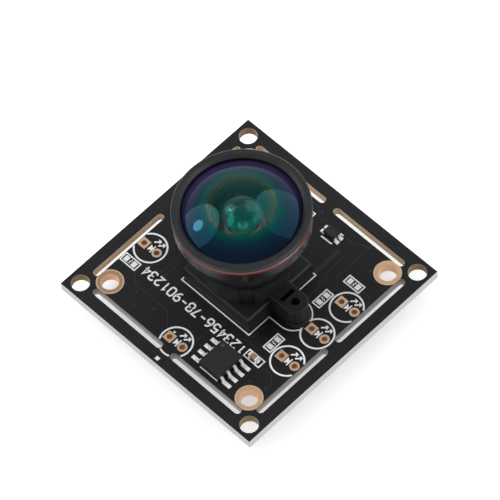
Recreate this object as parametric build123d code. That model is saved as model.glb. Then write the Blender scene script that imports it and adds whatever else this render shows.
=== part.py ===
from build123d import *
import os
from math import cos, pi, sin, sqrt

# Camera module: a square board with a lens holder, a focusing lens and small parts on both faces.
# Millimetres. Z = 0 is the board's underside, the lens axis is +Z through the board's centre.

# Board
BOARD_SIDE = 38.0
BOARD_T = 1.6
OUTER_HOLE_INSET = 2.0
OUTER_HOLE_D = 2.8
INNER_HOLE_SPACING = 28.0
INNER_HOLE_D = 2.7
PLATING_T = 0.1
COPPER_T = 0.05
INNER_PAD_D = 4.1
SLOT_INSET = 2.5
SLOT_W = 1.15
SLOT_START = 1.5
SLOT_CORNER_GAP = 2.3

# Empty places for ring lights: hole pairs along X
LIGHT_PLACES = [(13.8, 0.05), (13.8, 6.1), (13.8, -6.0), (0.0, -14.6), (-13.8, -6.1)]
LIGHT_PITCH = 2.54
LIGHT_HOLE_D = 0.85
LIGHT_PAD_D = 1.5

# Empty places for resistors: x, y, turn in degrees
RESISTOR_PLACES = [(-14.28, -9.65, 0), (10.27, -5.26, 90), (10.23, 4.68, 90), (11.81, 9.41, 0)]
RESISTOR_PAD = (0.75, 0.9)
RESISTOR_PAD_PITCH = 1.5

# Small open pads in the group beside the holder: x, y, length along X
GROUP_PADS = [(-4.5, 11.34, 0.95), (-4.5, 10.31, 0.95), (-1.97, 11.35, 0.95), (-1.97, 10.32, 0.6),
              (-6.35, 9.7, 1.3)]
GROUP_PAD_W = 0.52
SIX_PADS_AT = (-2.12, 13.08)
SIX_PADS_PITCH = (1.07, 1.03)
SIX_PAD = (0.5, 0.48)
TINY_PAIR_AT = (-5.43, 12.9)
TINY_PAIR_PITCH = 1.15
TINY_PAD = (0.5, 0.6)

# Lens holder
HOLDER_SIDE = 13.0
HOLDER_BASE_H = 3.2
HOLDER_EDGE = 0.25
TUBE_R = 6.4
TUBE_TOP = 6.5
TUBE_FLAT_W = 2.1
TUBE_FLAT_DEPTH = 0.45
EAR_SPACING = 19.2
EAR_R = 1.85
EAR_H = 4.2
EAR_FOOT_R = 1.98
EAR_FOOT_H = 1.1
EAR_EDGE = 0.12
EAR_BORE_D = 1.3
EAR_SLOT = (0.7, 2.5)
EAR_SLOT_DEPTH = 2.4
EAR_SLOT_AT = 8.0
CHAMBER_SIDE = 9.8
CHAMBER_H = 1.5
FILTER_SIDE = 7.4
FILTER_T = 0.3
FILTER_GAP = 0.05
WINDOW_R = 3.2
WINDOW_T = 0.4
THREAD_FIT = 0.05

# Sensor under the holder
SENSOR_SIDE = 7.9
SENSOR_H = 0.75
SENSOR_GLASS_SIDE = 7.1
SENSOR_GLASS_T = 0.4

# Focusing lens barrel
THREAD_R = 5.95
THREAD_FOOT = 2.55
FLANGE_GAP = 0.15
FLANGE_T = 1.05
KNURL_R = 6.9
KNURL_DEPTH = 0.16
KNURL_TEETH = 120
COLLAR_R = 5.3
COLLAR_H = 0.6
COLLAR_DISH = 0.2
REAR_BORE_DEPTH = 2.0
STOP_WALL_T = 0.6
STOP_WALL_R = 2.6
FIT = 0.05
STOP_R = 1.3
STOP_T = 0.2
STOP_SHELF = 1.3
FIELD_LENS_R = 3.85
FIELD_LENS_T = 1.3
FIELD_LENS_UPPER_CURVE = 14.0
FIELD_LENS_LOWER_CURVE = 12.0
FIELD_RING_R = 3.2
FIELD_RING_T = 0.4
LENS_LAND = 0.1

# Rear element, middle cell and its element
REAR_LENS_R = 4.5
REAR_LENS_EDGE = 1.75
REAR_LENS_CURVE = 18.0
CELL_R = 6.4
CELL_SHOULDER_H = 2.4
CELL_SPIGOT_R = 6.0
CELL_SPIGOT_H = 1.25
CELL_GLASS_R = 4.4
CELL_GLASS_T = 1.5
CELL_GLASS_CURVE = 11.0
CELL_WEB_R = 3.7
CELL_WEB_T = 0.5
CELL_RIM_R = 5.75
CELL_RIM_DROP = 0.75

# Front barrel
BARREL_FOOT_R = 6.95
BARREL_NECK_STEP = 1.1
BARREL_NECK_H = 4.1
BARREL_R = 9.8
BARREL_FRONT_WALL = 1.0
BARREL_BAND_H = 1.9
LINE_W = 0.35
LINE_DEPTH = 0.25
BARREL_RIM_CHAMFER = 0.45
BARREL_H = 7.4
SECOND_LENS_R = 4.5
SECOND_LENS_T = 1.5
SECOND_LENS_CURVE = 9.0
SECOND_SEAT_R = 3.5
SECOND_SEAT_H = 1.9
SECOND_RING_BORE_R = 2.9
SECOND_RING_T = 0.5
FRONT_SHELF = 1.85

# Front element and its ring
FRONT_LENS_EDGE = 1.6
FRONT_LENS_CURVE = 15.0
FRONT_HOLLOW_R = 4.9
FRONT_HOLLOW_CURVE = 5.2
FRONT_SETBACK = 0.12
RING_LIP = 0.15
RING_LAP = 0.1
RING_T = 1.0
RING_EDGE = 0.15
RING_STEP = 0.45

# Board parts, top face: x, y, turn in degrees
FLASH_AT = (7.1, -12.7, 0)
FLASH_BODY = (3.9, 4.9, 1.45)
FLASH_SPAN = 6.1
FLASH_PITCH = 1.27
FLASH_LEAD = (0.42, 0.2, 0.6)
FLASH_LIFT = 0.1
REGULATOR_AT = (3.7, 13.17, 0)
REGULATOR_BODY = (2.1, 1.4, 0.95)
REGULATOR_SPAN = 2.95
REGULATOR_PITCH = 0.8
REGULATOR_LEAD = (0.45, 0.14, 0.3)
REGULATOR_LIFT = 0.08
CRYSTAL_AT = (-6.37, 10.9)
CRYSTAL_BODY = (2.05, 1.3, 0.7)
CAN_BEVEL = 0.12
TOP_CAPACITORS = [(10.0, -8.97, 0), (-9.2, 10.8, 0), (-0.55, 10.4, 90)]
CAPACITOR_BODY = (1.6, 0.8, 0.8)
TERMINAL_L = 0.35
TERMINAL_T = 0.03

# Chip bodies and leads: side slope as a share of height, knee place as a share of reach, rise over mid-height
BODY_SLOPE = 0.06
KNEE_SHARE = 0.4
LEAD_RISE = 0.05

# Board parts, underside
PROCESSOR_AT = (-1.0, -1.0)
PROCESSOR_SIDE = 7.0
PROCESSOR_H = 1.0
PROCESSOR_SPAN = 9.0
PROCESSOR_ROW_COUNT = 12
PROCESSOR_PITCH = 0.5
PROCESSOR_LEAD = (0.22, 0.13, 0.5)
PROCESSOR_LIFT = 0.1
BACK_CRYSTAL_AT = (-7.5, 6.5)
BACK_CRYSTAL_BODY = (3.2, 2.5, 0.8)
BACK_CAPACITORS = [(7.0, 4.5, 90), (5.0, 7.0, 0), (-5.5, -6.6, 90), (6.0, -5.0, 90), (-8.0, 3.4, 0)]
BACK_RESISTORS = [(-10.5, 8.0, 90), (8.7, 8.0, 90), (10.4, 8.0, 90), (3.0, 5.6, 0)]
RESISTOR_BODY = (1.6, 0.8, 0.45)
INDUCTOR_AT = (8.2, -7.6)
INDUCTOR_BODY = (3.0, 3.0, 1.2)
INDUCTOR_CORNER = 0.4
CONNECTOR_INSET = 6.0
CONNECTOR_BODY = (9.3, 4.6, 3.4)
CONNECTOR_WALL = 0.6
CONNECTOR_BACK_WALL = 1.1
CONNECTOR_PINS = 5
CONNECTOR_PITCH = 1.25
CONNECTOR_PIN = 0.45
CONNECTOR_TAIL = 1.3
CONNECTOR_TAB = (0.6, 2.2, 1.0)
SCREW_R = 0.6
SCREW_HEAD_R = 1.7
SCREW_HEAD_H = 1.0
SCREW_HEAD_BEVEL = 0.33
SCREW_BITE = 2.6
SCREW_HOLE_D = 1.9
SCREW_RECESS = (0.35, 1.9, 0.5)

# Sizes and heights that follow from those above
OUTER_HOLE_SPACING = BOARD_SIDE - 2 * OUTER_HOLE_INSET
SLOT_LINE = BOARD_SIDE / 2 - SLOT_INSET
SLOT_END = SLOT_LINE - SLOT_CORNER_GAP
CONNECTOR_Y = BOARD_SIDE / 2 - CONNECTOR_INSET
BARREL_NECK_R = BARREL_R - BARREL_NECK_STEP
FRONT_LENS_R = BARREL_R - BARREL_FRONT_WALL - FIT
CONE_TOP_R = FRONT_LENS_R - FRONT_SHELF
RING_R = BARREL_R + RING_LIP
RING_BORE_R = FRONT_LENS_R - RING_LAP
TOP = BOARD_T
HOLDER_WEB = TOP + CHAMBER_H + FILTER_T + FILTER_GAP
HOLDER_BORE_FOOT = HOLDER_WEB + WINDOW_T
FLANGE_FOOT = TOP + TUBE_TOP + FLANGE_GAP
FLANGE_TOP = FLANGE_FOOT + FLANGE_T
COLLAR_TOP = FLANGE_TOP + COLLAR_H
REAR_SEAT = COLLAR_TOP - REAR_BORE_DEPTH
CELL_SHOULDER = FLANGE_TOP + CELL_SHOULDER_H
CELL_TOP = CELL_SHOULDER + CELL_SPIGOT_H
BARREL_TOP = CELL_SHOULDER + BARREL_H
FRONT_SEAT = BARREL_TOP - FRONT_SETBACK - FRONT_LENS_EDGE

STAND = (Align.CENTER, Align.CENTER, Align.MIN)
QUARTERS = [(1, 1), (-1, 1), (-1, -1), (1, -1)]


# Shared shapes

def block(size_x, size_y, low, high):
    """An upright block centred on the origin between two heights."""
    return Pos(0, 0, low) * Box(size_x, size_y, high - low, align=STAND)


def disc(radius, low, high):
    """An upright cylinder on the lens axis between two heights."""
    return Pos(0, 0, low) * Cylinder(radius, high - low, align=STAND)


def washer(radius, bore_radius, low, high):
    """A flat ring on the lens axis."""
    return disc(radius, low, high) - disc(bore_radius, low, high)


def turned(*corners):
    """A solid turned about the lens axis from corners given as radius and height."""
    return revolve(Plane.XZ * make_face(Polyline(*corners, close=True)), Axis.Z)


def row_of(count):
    """The places of evenly spaced things about a middle, counted in pitches."""
    return [number - (count - 1) / 2 for number in range(count)]


def rise(radius, curve):
    """How far a lens face has bent away from its apex at a radius; a face that bulges down is negative."""
    depth = abs(curve) - sqrt(curve * curve - radius * radius)
    return depth if curve > 0 else -depth


def lens_face(aperture, edge_height, curve):
    """The arc of a lens face from the axis out to its aperture."""
    apex = edge_height + rise(aperture, curve)
    halfway = apex - rise(aperture / 2, curve)
    return ThreePointArc((0, apex), (aperture / 2, halfway), (aperture, edge_height))


def glass(radius, low, high, upper, lower):
    """A lens element; upper and lower are each an aperture and a curve, and a positive curve bulges up."""
    upper_face = lens_face(upper[0], high, upper[1])
    lower_face = lens_face(lower[0], low, lower[1])
    rim = [upper_face @ 1, (radius, high), (radius, low), lower_face @ 1]
    rim = [Vector(*point) if isinstance(point, tuple) else point for point in rim]
    lines = [Line(a, b) for a, b in zip(rim, rim[1:]) if (b - a).length > 1e-6]
    axis_line = Line(lower_face @ 0, upper_face @ 0)
    return revolve(Plane.XZ * make_face([upper_face, *lines, lower_face, axis_line]), Axis.Z)


def chip_body(size, lift):
    """A moulded chip body with sloped sides, standing on the board's face at height 0."""
    length, width, height = size
    taper = BODY_SLOPE * height
    waist = lift + (height - lift) / 2
    lower = loft([Plane.XY.offset(lift) * Rectangle(length - 2 * taper, width - 2 * taper),
                  Plane.XY.offset(waist) * Rectangle(length, width)])
    upper = loft([Plane.XY.offset(waist) * Rectangle(length, width),
                  Plane.XY.offset(height) * Rectangle(length - 2 * taper, width - 2 * taper)])
    return lower + upper


def gull_lead(body_edge, tip, waist, width, thickness, foot):
    """A bent lead from a chip's side down to its pad, pointing along +X."""
    knee = body_edge + (tip - foot - body_edge) * KNEE_SHARE
    ankle = tip - foot
    side = make_face(Polyline(
        (body_edge, waist - thickness / 2), (knee - thickness / 2, waist - thickness / 2),
        (ankle - thickness / 2, 0), (tip, 0), (tip, thickness), (ankle + thickness / 2, thickness),
        (knee + thickness / 2, waist + thickness / 2), (body_edge, waist + thickness / 2), close=True))
    return extrude(Plane.XZ * side, width / 2, both=True)


def chip_core(size):
    """The ceramic body of a small chip part, along X, between its two metal ends."""
    return [block(size[0] - 2 * TERMINAL_L, size[1] - 2 * TERMINAL_T, 0, size[2] - TERMINAL_T)]


def chip_ends(size):
    """The two metal ends of a small chip part, along X."""
    at = (size[0] - TERMINAL_L) / 2
    return [Pos(side * at, 0, 0) * block(TERMINAL_L, size[1], 0, size[2]) for side in (-1, 1)]


def metal_can(size):
    """A low metal lid with a bevelled top."""
    can = block(*size[:2], 0, size[2])
    return chamfer(can.edges().group_by(Axis.Z)[-1], CAN_BEVEL)


def on_top(place):
    """The location of a top-side part given as x, y and turn."""
    return Pos(place[0], place[1], TOP) * Rot(0, 0, place[2])


def on_back(place):
    """The location of an underside part given as x, y and turn, its own up pointing down."""
    return Pos(place[0], place[1], 0) * Rot(180, 0, 0) * Rot(0, 0, place[2])


def at_places(stand, places, make, size):
    """The pieces of a small part at every place, standing on one face of the board."""
    return [stand(place) * piece for place in places for piece in make(size)]


# Board

def slots(low, high):
    """The eight snap-off slots, two along each side."""
    length = SLOT_END - SLOT_START + SLOT_W
    middle = (SLOT_END + SLOT_START) / 2
    outline = SlotOverall(length, SLOT_W)
    made = []
    for quarter in range(4):
        for half in (-1, 1):
            place = Rot(0, 0, 90 * quarter) * Pos(half * middle, SLOT_LINE, low)
            made.append(extrude(place * outline, high - low))
    return made


def light_holes():
    """The centres of the ring lights' lead holes: square pad first, round pad second."""
    return [(x + side * LIGHT_PITCH / 2, y, side) for x, y in LIGHT_PLACES for side in (-1, 1)]


def circuit_board():
    board = block(BOARD_SIDE, BOARD_SIDE, 0, TOP)
    cuts = slots(0, TOP)
    for x, y in QUARTERS:
        outer = Pos(x * OUTER_HOLE_SPACING / 2, y * OUTER_HOLE_SPACING / 2)
        inner = Pos(x * INNER_HOLE_SPACING / 2, y * INNER_HOLE_SPACING / 2)
        cuts.append(outer * disc(OUTER_HOLE_D / 2, 0, TOP))
        cuts.append(inner * disc(INNER_HOLE_D / 2 + PLATING_T, 0, TOP))
    for x, y, side in light_holes():
        cuts.append(Pos(x, y) * disc(LIGHT_HOLE_D / 2 + COPPER_T, 0, TOP))
    for side in (-1, 1):
        cuts.append(Pos(side * EAR_SPACING / 2, 0) * disc(SCREW_HOLE_D / 2, 0, TOP))
    return board - cuts


def mounting_hole_plating():
    """Copper through each inner mounting hole, with a round land on both faces, clipped by the slots."""
    sleeve = washer(INNER_HOLE_D / 2 + PLATING_T, INNER_HOLE_D / 2, -COPPER_T, TOP + COPPER_T)
    for low in (-COPPER_T, TOP):
        sleeve += washer(INNER_PAD_D / 2, INNER_HOLE_D / 2, low, low + COPPER_T)
    clearing = slots(-COPPER_T, TOP + COPPER_T)
    at = INNER_HOLE_SPACING / 2
    return [Pos(x * at, y * at) * sleeve - clearing for x, y in QUARTERS]


def light_pad_plating():
    """Copper through the ring lights' holes: a square land for one lead and a round one for the other."""
    pieces = []
    bore = disc(LIGHT_HOLE_D / 2, -COPPER_T, TOP + COPPER_T)
    for x, y, side in light_holes():
        sleeve = disc(LIGHT_HOLE_D / 2 + COPPER_T, -COPPER_T, TOP + COPPER_T)
        for low in (-COPPER_T, TOP):
            if side < 0:
                sleeve += block(LIGHT_PAD_D, LIGHT_PAD_D, low, low + COPPER_T)
            else:
                sleeve += disc(LIGHT_PAD_D / 2, low, low + COPPER_T)
        clearing = [Pos(-x, -y) * slot for slot in slots(-COPPER_T, TOP + COPPER_T)]
        pieces.append(Pos(x, y) * (sleeve - bore - clearing))
    return pieces


def solder_pads():
    """The tinned pads of the empty places."""
    pads = []
    resistor_pad = block(*RESISTOR_PAD, 0, COPPER_T)
    for place in RESISTOR_PLACES:
        for side in (-1, 1):
            pads.append(on_top(place) * Pos(side * RESISTOR_PAD_PITCH / 2, 0) * resistor_pad)
    for x, y, length in GROUP_PADS:
        pads.append(Pos(x, y, TOP) * block(length, GROUP_PAD_W, 0, COPPER_T))
    for side in (-1, 1):
        at = Pos(TINY_PAIR_AT[0] + side * TINY_PAIR_PITCH / 2, TINY_PAIR_AT[1], TOP)
        pads.append(at * block(*TINY_PAD, 0, COPPER_T))
        for column in (-1, 0, 1):
            at = Pos(SIX_PADS_AT[0] + column * SIX_PADS_PITCH[0],
                     SIX_PADS_AT[1] + side * SIX_PADS_PITCH[1] / 2, TOP)
            pads.append(at * block(*SIX_PAD, 0, COPPER_T))
    return pads


# Holder, sensor and screws

def lens_holder():
    base = block(HOLDER_SIDE, HOLDER_SIDE, TOP, TOP + HOLDER_BASE_H)
    base = chamfer(base.edges().group_by(Axis.Z)[-1], HOLDER_EDGE)
    body = base + disc(TUBE_R, TOP, TOP + TUBE_TOP)
    flat = Pos(TUBE_R, 0) * block(2 * TUBE_FLAT_DEPTH, TUBE_FLAT_W, TOP + HOLDER_BASE_H, TOP + TUBE_TOP)
    body -= [Rot(0, 0, 45 + 90 * quarter) * flat for quarter in range(4)]
    ear_at = EAR_SPACING / 2
    for side in (0, 180):
        turn = Rot(0, 0, side)
        reach = ear_at - TUBE_R + TUBE_FLAT_DEPTH
        ear = Pos(ear_at - reach / 2, 0) * block(reach, 2 * EAR_R, TOP, TOP + EAR_H)
        ear += Pos(ear_at, 0) * disc(EAR_R, TOP, TOP + EAR_H)
        ear = chamfer(ear.edges().group_by(Axis.Z)[-1], EAR_EDGE)
        ear += Pos(ear_at, 0) * disc(EAR_FOOT_R, TOP, TOP + EAR_FOOT_H)
        ear -= Pos(ear_at, 0) * disc(EAR_BORE_D / 2, TOP, TOP + EAR_H)
        slot_floor = TOP + EAR_H - EAR_SLOT_DEPTH
        ear -= Pos(EAR_SLOT_AT, 0) * block(*EAR_SLOT, slot_floor, TOP + EAR_H)
        body += turn * ear
    body -= block(CHAMBER_SIDE, CHAMBER_SIDE, TOP, TOP + CHAMBER_H)
    pocket = FILTER_SIDE + 2 * FILTER_GAP
    body -= block(pocket, pocket, TOP, HOLDER_WEB)
    body -= disc(WINDOW_R, TOP, HOLDER_BORE_FOOT)
    body -= disc(THREAD_R + THREAD_FIT, HOLDER_BORE_FOOT, TOP + TUBE_TOP)
    return body


def infrared_filter():
    return block(FILTER_SIDE, FILTER_SIDE, HOLDER_WEB - FILTER_T, HOLDER_WEB)


def image_sensor():
    return block(SENSOR_SIDE, SENSOR_SIDE, TOP, TOP + SENSOR_H)


def sensor_glass():
    low = TOP + SENSOR_H
    return block(SENSOR_GLASS_SIDE, SENSOR_GLASS_SIDE, low, low + SENSOR_GLASS_T)


def holder_screws():
    """The two screws that come up through the board into the holder's ears, with cross recesses."""
    screws = []
    for side in (-1, 1):
        at = Pos(side * EAR_SPACING / 2, 0)
        head = disc(SCREW_HEAD_R, -SCREW_HEAD_H, 0)
        head = chamfer(head.edges().group_by(Axis.Z)[0], SCREW_HEAD_BEVEL)
        width, length, depth = SCREW_RECESS
        for turn in (0, 90):
            head -= Rot(0, 0, turn) * block(length, width, -SCREW_HEAD_H, depth - SCREW_HEAD_H)
        screws.append(at * (head + disc(SCREW_R, 0, TOP + SCREW_BITE)))
    return screws


# Lens, from the holder outwards

def lens_barrel():
    """The threaded barrel with its knurled flange, the collar, and bores for the elements it carries."""
    teeth = []
    for tooth in range(2 * KNURL_TEETH):
        radius = KNURL_R - KNURL_DEPTH * (tooth % 2)
        angle = pi * tooth / KNURL_TEETH
        teeth.append((radius * cos(angle), radius * sin(angle)))
    flange = extrude(Pos(0, 0, FLANGE_FOOT) * make_face(Polyline(*teeth, close=True)), FLANGE_T)
    body = flange + disc(THREAD_R, TOP + THREAD_FOOT, FLANGE_FOOT) + disc(COLLAR_R, FLANGE_TOP, COLLAR_TOP)
    rear_bore = REAR_LENS_R + FIT
    body -= disc(rear_bore, REAR_SEAT, COLLAR_TOP)
    body -= turned((0, COLLAR_TOP), (COLLAR_R - COLLAR_DISH, COLLAR_TOP),
                   (rear_bore, COLLAR_TOP - COLLAR_DISH), (0, COLLAR_TOP - COLLAR_DISH))
    element_bore = FIELD_LENS_R + FIT
    wall_top = REAR_SEAT - STOP_SHELF
    body -= disc(element_bore, wall_top, REAR_SEAT)
    body -= disc(STOP_WALL_R, wall_top - STOP_WALL_T, wall_top)
    body -= disc(element_bore, TOP + THREAD_FOOT, wall_top - STOP_WALL_T)
    return body


def aperture_stop():
    """The thin black disc with the lens's stop, on the barrel's inner wall."""
    low = REAR_SEAT - STOP_SHELF
    return washer(FIELD_LENS_R, STOP_R, low, low + STOP_T)


def field_lens():
    """The element nearest the sensor, under the barrel's inner wall."""
    high = REAR_SEAT - STOP_SHELF - STOP_WALL_T
    low = high - FIELD_LENS_T
    upper = (STOP_WALL_R, FIELD_LENS_UPPER_CURVE)
    return glass(FIELD_LENS_R, low, high, upper, (FIELD_RING_R, -FIELD_LENS_LOWER_CURVE))


def field_lens_ring():
    high = REAR_SEAT - STOP_SHELF - STOP_WALL_T - FIELD_LENS_T
    return washer(FIELD_LENS_R, FIELD_RING_R, high - FIELD_RING_T, high)


def rear_element():
    high = REAR_SEAT + REAR_LENS_EDGE
    faces = REAR_LENS_R - LENS_LAND
    return glass(REAR_LENS_R, REAR_SEAT, high, (faces, REAR_LENS_CURVE), (FIELD_LENS_R, -REAR_LENS_CURVE))


def middle_cell():
    """The cell that sits on the flange around the collar and holds the middle element."""
    web = COLLAR_TOP + FIT
    glass_seat = web + CELL_WEB_T
    bore = CELL_GLASS_R + FIT
    rim_low = CELL_TOP - CELL_RIM_DROP
    return turned(
        (COLLAR_R + FIT, FLANGE_TOP), (CELL_R, FLANGE_TOP), (CELL_R, CELL_SHOULDER),
        (CELL_SPIGOT_R, CELL_SHOULDER), (CELL_SPIGOT_R, CELL_TOP), (CELL_RIM_R, CELL_TOP),
        (bore, rim_low), (bore, glass_seat), (CELL_WEB_R, glass_seat), (CELL_WEB_R, web),
        (COLLAR_R + FIT, web))


def middle_element():
    low = COLLAR_TOP + FIT + CELL_WEB_T
    faces = CELL_GLASS_R - LENS_LAND
    curve = CELL_GLASS_CURVE
    return glass(CELL_GLASS_R, low, low + CELL_GLASS_T, (faces, curve), (CELL_WEB_R, curve))


def front_barrel():
    """The wide front barrel: socket, tapered neck, bright band, line groove and bevelled rim outside;
    seats for the second element, its ring and the front element inside."""
    foot = CELL_SHOULDER
    neck = foot + BARREL_NECK_H
    band_low = BARREL_TOP - BARREL_RIM_CHAMFER - LINE_W - BARREL_BAND_H
    line_low = band_low + BARREL_BAND_H
    second_seat = foot + SECOND_SEAT_H
    ring_top = second_seat + SECOND_LENS_T + SECOND_RING_T
    second_bore = SECOND_LENS_R + FIT
    return turned(
        (CELL_SPIGOT_R + FIT, foot), (BARREL_FOOT_R, foot), (BARREL_NECK_R, neck),
        (BARREL_R, band_low), (BARREL_R, line_low), (BARREL_R - LINE_DEPTH, line_low),
        (BARREL_R - LINE_DEPTH, line_low + LINE_W), (BARREL_R, line_low + LINE_W),
        (BARREL_R - BARREL_RIM_CHAMFER, BARREL_TOP), (FRONT_LENS_R + FIT, BARREL_TOP),
        (FRONT_LENS_R + FIT, FRONT_SEAT), (CONE_TOP_R, FRONT_SEAT), (second_bore, ring_top),
        (second_bore, second_seat), (SECOND_SEAT_R, second_seat),
        (SECOND_SEAT_R, CELL_TOP + FIT), (CELL_SPIGOT_R + FIT, CELL_TOP + FIT))


def red_line_ring():
    """The thin coloured ring let into the front barrel's groove."""
    low = BARREL_TOP - BARREL_RIM_CHAMFER - LINE_W
    return washer(BARREL_R, BARREL_R - LINE_DEPTH, low, low + LINE_W)


def second_element():
    low = CELL_SHOULDER + SECOND_SEAT_H
    upper = (SECOND_RING_BORE_R, -SECOND_LENS_CURVE)
    return glass(SECOND_LENS_R, low, low + SECOND_LENS_T, upper, (SECOND_SEAT_R, SECOND_LENS_CURVE))


def second_element_ring():
    low = CELL_SHOULDER + SECOND_SEAT_H + SECOND_LENS_T
    high = low + SECOND_RING_T
    bevel = SECOND_RING_T / 2
    return turned((SECOND_RING_BORE_R, low), (SECOND_LENS_R, low), (SECOND_LENS_R, high),
                  (SECOND_RING_BORE_R + bevel, high), (SECOND_RING_BORE_R, high - bevel))


def front_element():
    """The large domed element with a deep hollow behind, seated on the flat round the hollow."""
    return glass(FRONT_LENS_R, FRONT_SEAT, FRONT_SEAT + FRONT_LENS_EDGE,
                 (FRONT_LENS_R, FRONT_LENS_CURVE), (FRONT_HOLLOW_R, FRONT_HOLLOW_CURVE))


def retaining_ring():
    """The flat ring that closes the front barrel over the front element's edge."""
    high = BARREL_TOP + RING_T
    return turned((RING_BORE_R, BARREL_TOP), (RING_R, BARREL_TOP), (RING_R, high - RING_EDGE),
                  (RING_R - RING_EDGE, high), (RING_BORE_R + RING_STEP, high),
                  (RING_BORE_R, high - RING_STEP))


# Small parts on the board

def chip_leads(span, body, pitch, rows, sizes):
    """Rows of leads on both X sides of a chip, each row given as places counted in pitches along Y."""
    lead = gull_lead(body[0] / 2, span / 2, body[2] / 2 + LEAD_RISE, *sizes)
    return [Rot(0, 0, side) * Pos(0, place * pitch) * lead
            for side, row in zip((0, 180), rows) for place in row]


def flash_chip():
    return on_top(FLASH_AT) * chip_body(FLASH_BODY, FLASH_LIFT)


def flash_chip_leads():
    rows = (row_of(4), row_of(4))
    return [on_top(FLASH_AT) * lead
            for lead in chip_leads(FLASH_SPAN, FLASH_BODY, FLASH_PITCH, rows, FLASH_LEAD)]


def regulator_chip():
    return on_top(REGULATOR_AT) * chip_body(REGULATOR_BODY, REGULATOR_LIFT)


def regulator_leads():
    rows = (row_of(2), row_of(2))
    return [on_top(REGULATOR_AT) * lead
            for lead in chip_leads(REGULATOR_SPAN, REGULATOR_BODY, REGULATOR_PITCH, rows, REGULATOR_LEAD)]


def crystal_can():
    return Pos(*CRYSTAL_AT, TOP) * metal_can(CRYSTAL_BODY)


def back_crystal_can():
    return on_back((*BACK_CRYSTAL_AT, 0)) * metal_can(BACK_CRYSTAL_BODY)


def chip_capacitors():
    return at_places(on_top, TOP_CAPACITORS, chip_core, CAPACITOR_BODY)


def chip_capacitor_ends():
    return at_places(on_top, TOP_CAPACITORS, chip_ends, CAPACITOR_BODY)


def back_capacitors():
    return at_places(on_back, BACK_CAPACITORS, chip_core, CAPACITOR_BODY)


def back_capacitor_ends():
    return at_places(on_back, BACK_CAPACITORS, chip_ends, CAPACITOR_BODY)


def back_resistors():
    return at_places(on_back, BACK_RESISTORS, chip_core, RESISTOR_BODY)


def back_resistor_ends():
    return at_places(on_back, BACK_RESISTORS, chip_ends, RESISTOR_BODY)


def inductor():
    core = block(*INDUCTOR_BODY[:2], 0, INDUCTOR_BODY[2])
    core = chamfer(core.edges().filter_by(Axis.Z), INDUCTOR_CORNER)
    return on_back((*INDUCTOR_AT, 0)) * core


def processor_body():
    """The length, width and height of the processor's moulded body."""
    return (PROCESSOR_SIDE, PROCESSOR_SIDE, PROCESSOR_H)


def processor_chip():
    return on_back((*PROCESSOR_AT, 0)) * chip_body(processor_body(), PROCESSOR_LIFT)


def processor_leads():
    row = row_of(PROCESSOR_ROW_COUNT)
    pair = chip_leads(PROCESSOR_SPAN, processor_body(), PROCESSOR_PITCH, (row, row), PROCESSOR_LEAD)
    return [on_back((*PROCESSOR_AT, turn)) * lead for turn in (0, 90) for lead in pair]


def connector_pin_places():
    return [place * CONNECTOR_PITCH for place in row_of(CONNECTOR_PINS)]


def connector_housing():
    """The cable socket on the underside, open towards +Y, with pin holes through its back wall."""
    length, depth, height = CONNECTOR_BODY
    shell = block(length, depth, 0, height)
    cavity_l = length - 2 * CONNECTOR_WALL
    cavity = Pos(0, -CONNECTOR_BACK_WALL) * block(cavity_l, depth, CONNECTOR_WALL, height - CONNECTOR_WALL)
    shell -= cavity
    for x in connector_pin_places():
        shell -= Pos(x, depth / 2, height / 2) * Box(CONNECTOR_PIN, 3 * CONNECTOR_BACK_WALL, CONNECTOR_PIN)
    return on_back((0, CONNECTOR_Y, 0)) * shell


def connector_pins():
    """Square pins from the socket's cavity out of its back wall and down to the board."""
    depth, height = CONNECTOR_BODY[1:]
    half = CONNECTOR_PIN / 2
    tip = CONNECTOR_WALL - depth / 2
    end = depth / 2 + CONNECTOR_TAIL
    bend = end - CONNECTOR_TAIL / 2
    side = make_face(Polyline(
        (tip, height / 2 - half), (bend, height / 2 - half), (bend, 0), (end, 0), (end, half),
        (bend + 2 * half, half), (bend + 2 * half, height / 2 + half),
        (tip, height / 2 + half), close=True))
    pin = extrude(Plane.YZ * side, half, both=True)
    return [on_back((0, CONNECTOR_Y, 0)) * Pos(x, 0) * pin for x in connector_pin_places()]


def connector_tabs():
    """The two soldered hold-down tabs at the socket's ends."""
    width, length, height = CONNECTOR_TAB
    at = (CONNECTOR_BODY[0] + width) / 2
    return [on_back((0, CONNECTOR_Y, 0)) * Pos(side * at, 0) * block(width, length, 0, height)
            for side in (-1, 1)]


PARTS = [
    circuit_board, mounting_hole_plating, light_pad_plating, solder_pads,
    lens_holder, infrared_filter, image_sensor, sensor_glass, holder_screws,
    lens_barrel, aperture_stop, field_lens, field_lens_ring, rear_element, middle_cell, middle_element,
    front_barrel, red_line_ring, second_element, second_element_ring, front_element, retaining_ring,
    flash_chip, flash_chip_leads, regulator_chip, regulator_leads, crystal_can,
    chip_capacitors, chip_capacitor_ends,
    processor_chip, processor_leads, back_crystal_can, inductor,
    back_capacitors, back_capacitor_ends, back_resistors, back_resistor_ends,
    connector_housing, connector_pins, connector_tabs,
]


def main():
    os.makedirs("parts", exist_ok=True)
    for make in PARTS:
        made = make()
        solids = made if isinstance(made, list) else [made]
        shape = Compound([solid for piece in solids for solid in piece.solids()])
        export_step(shape, f"parts/{make.__name__}.step")


main()
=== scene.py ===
"""Camera module: board print, solder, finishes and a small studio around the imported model."""
import logging
import math
from dataclasses import dataclass, field
from enum import Enum
from typing import Callable, Sequence, Union

import bmesh
import bpy
from mathutils import Matrix, Vector


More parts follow.
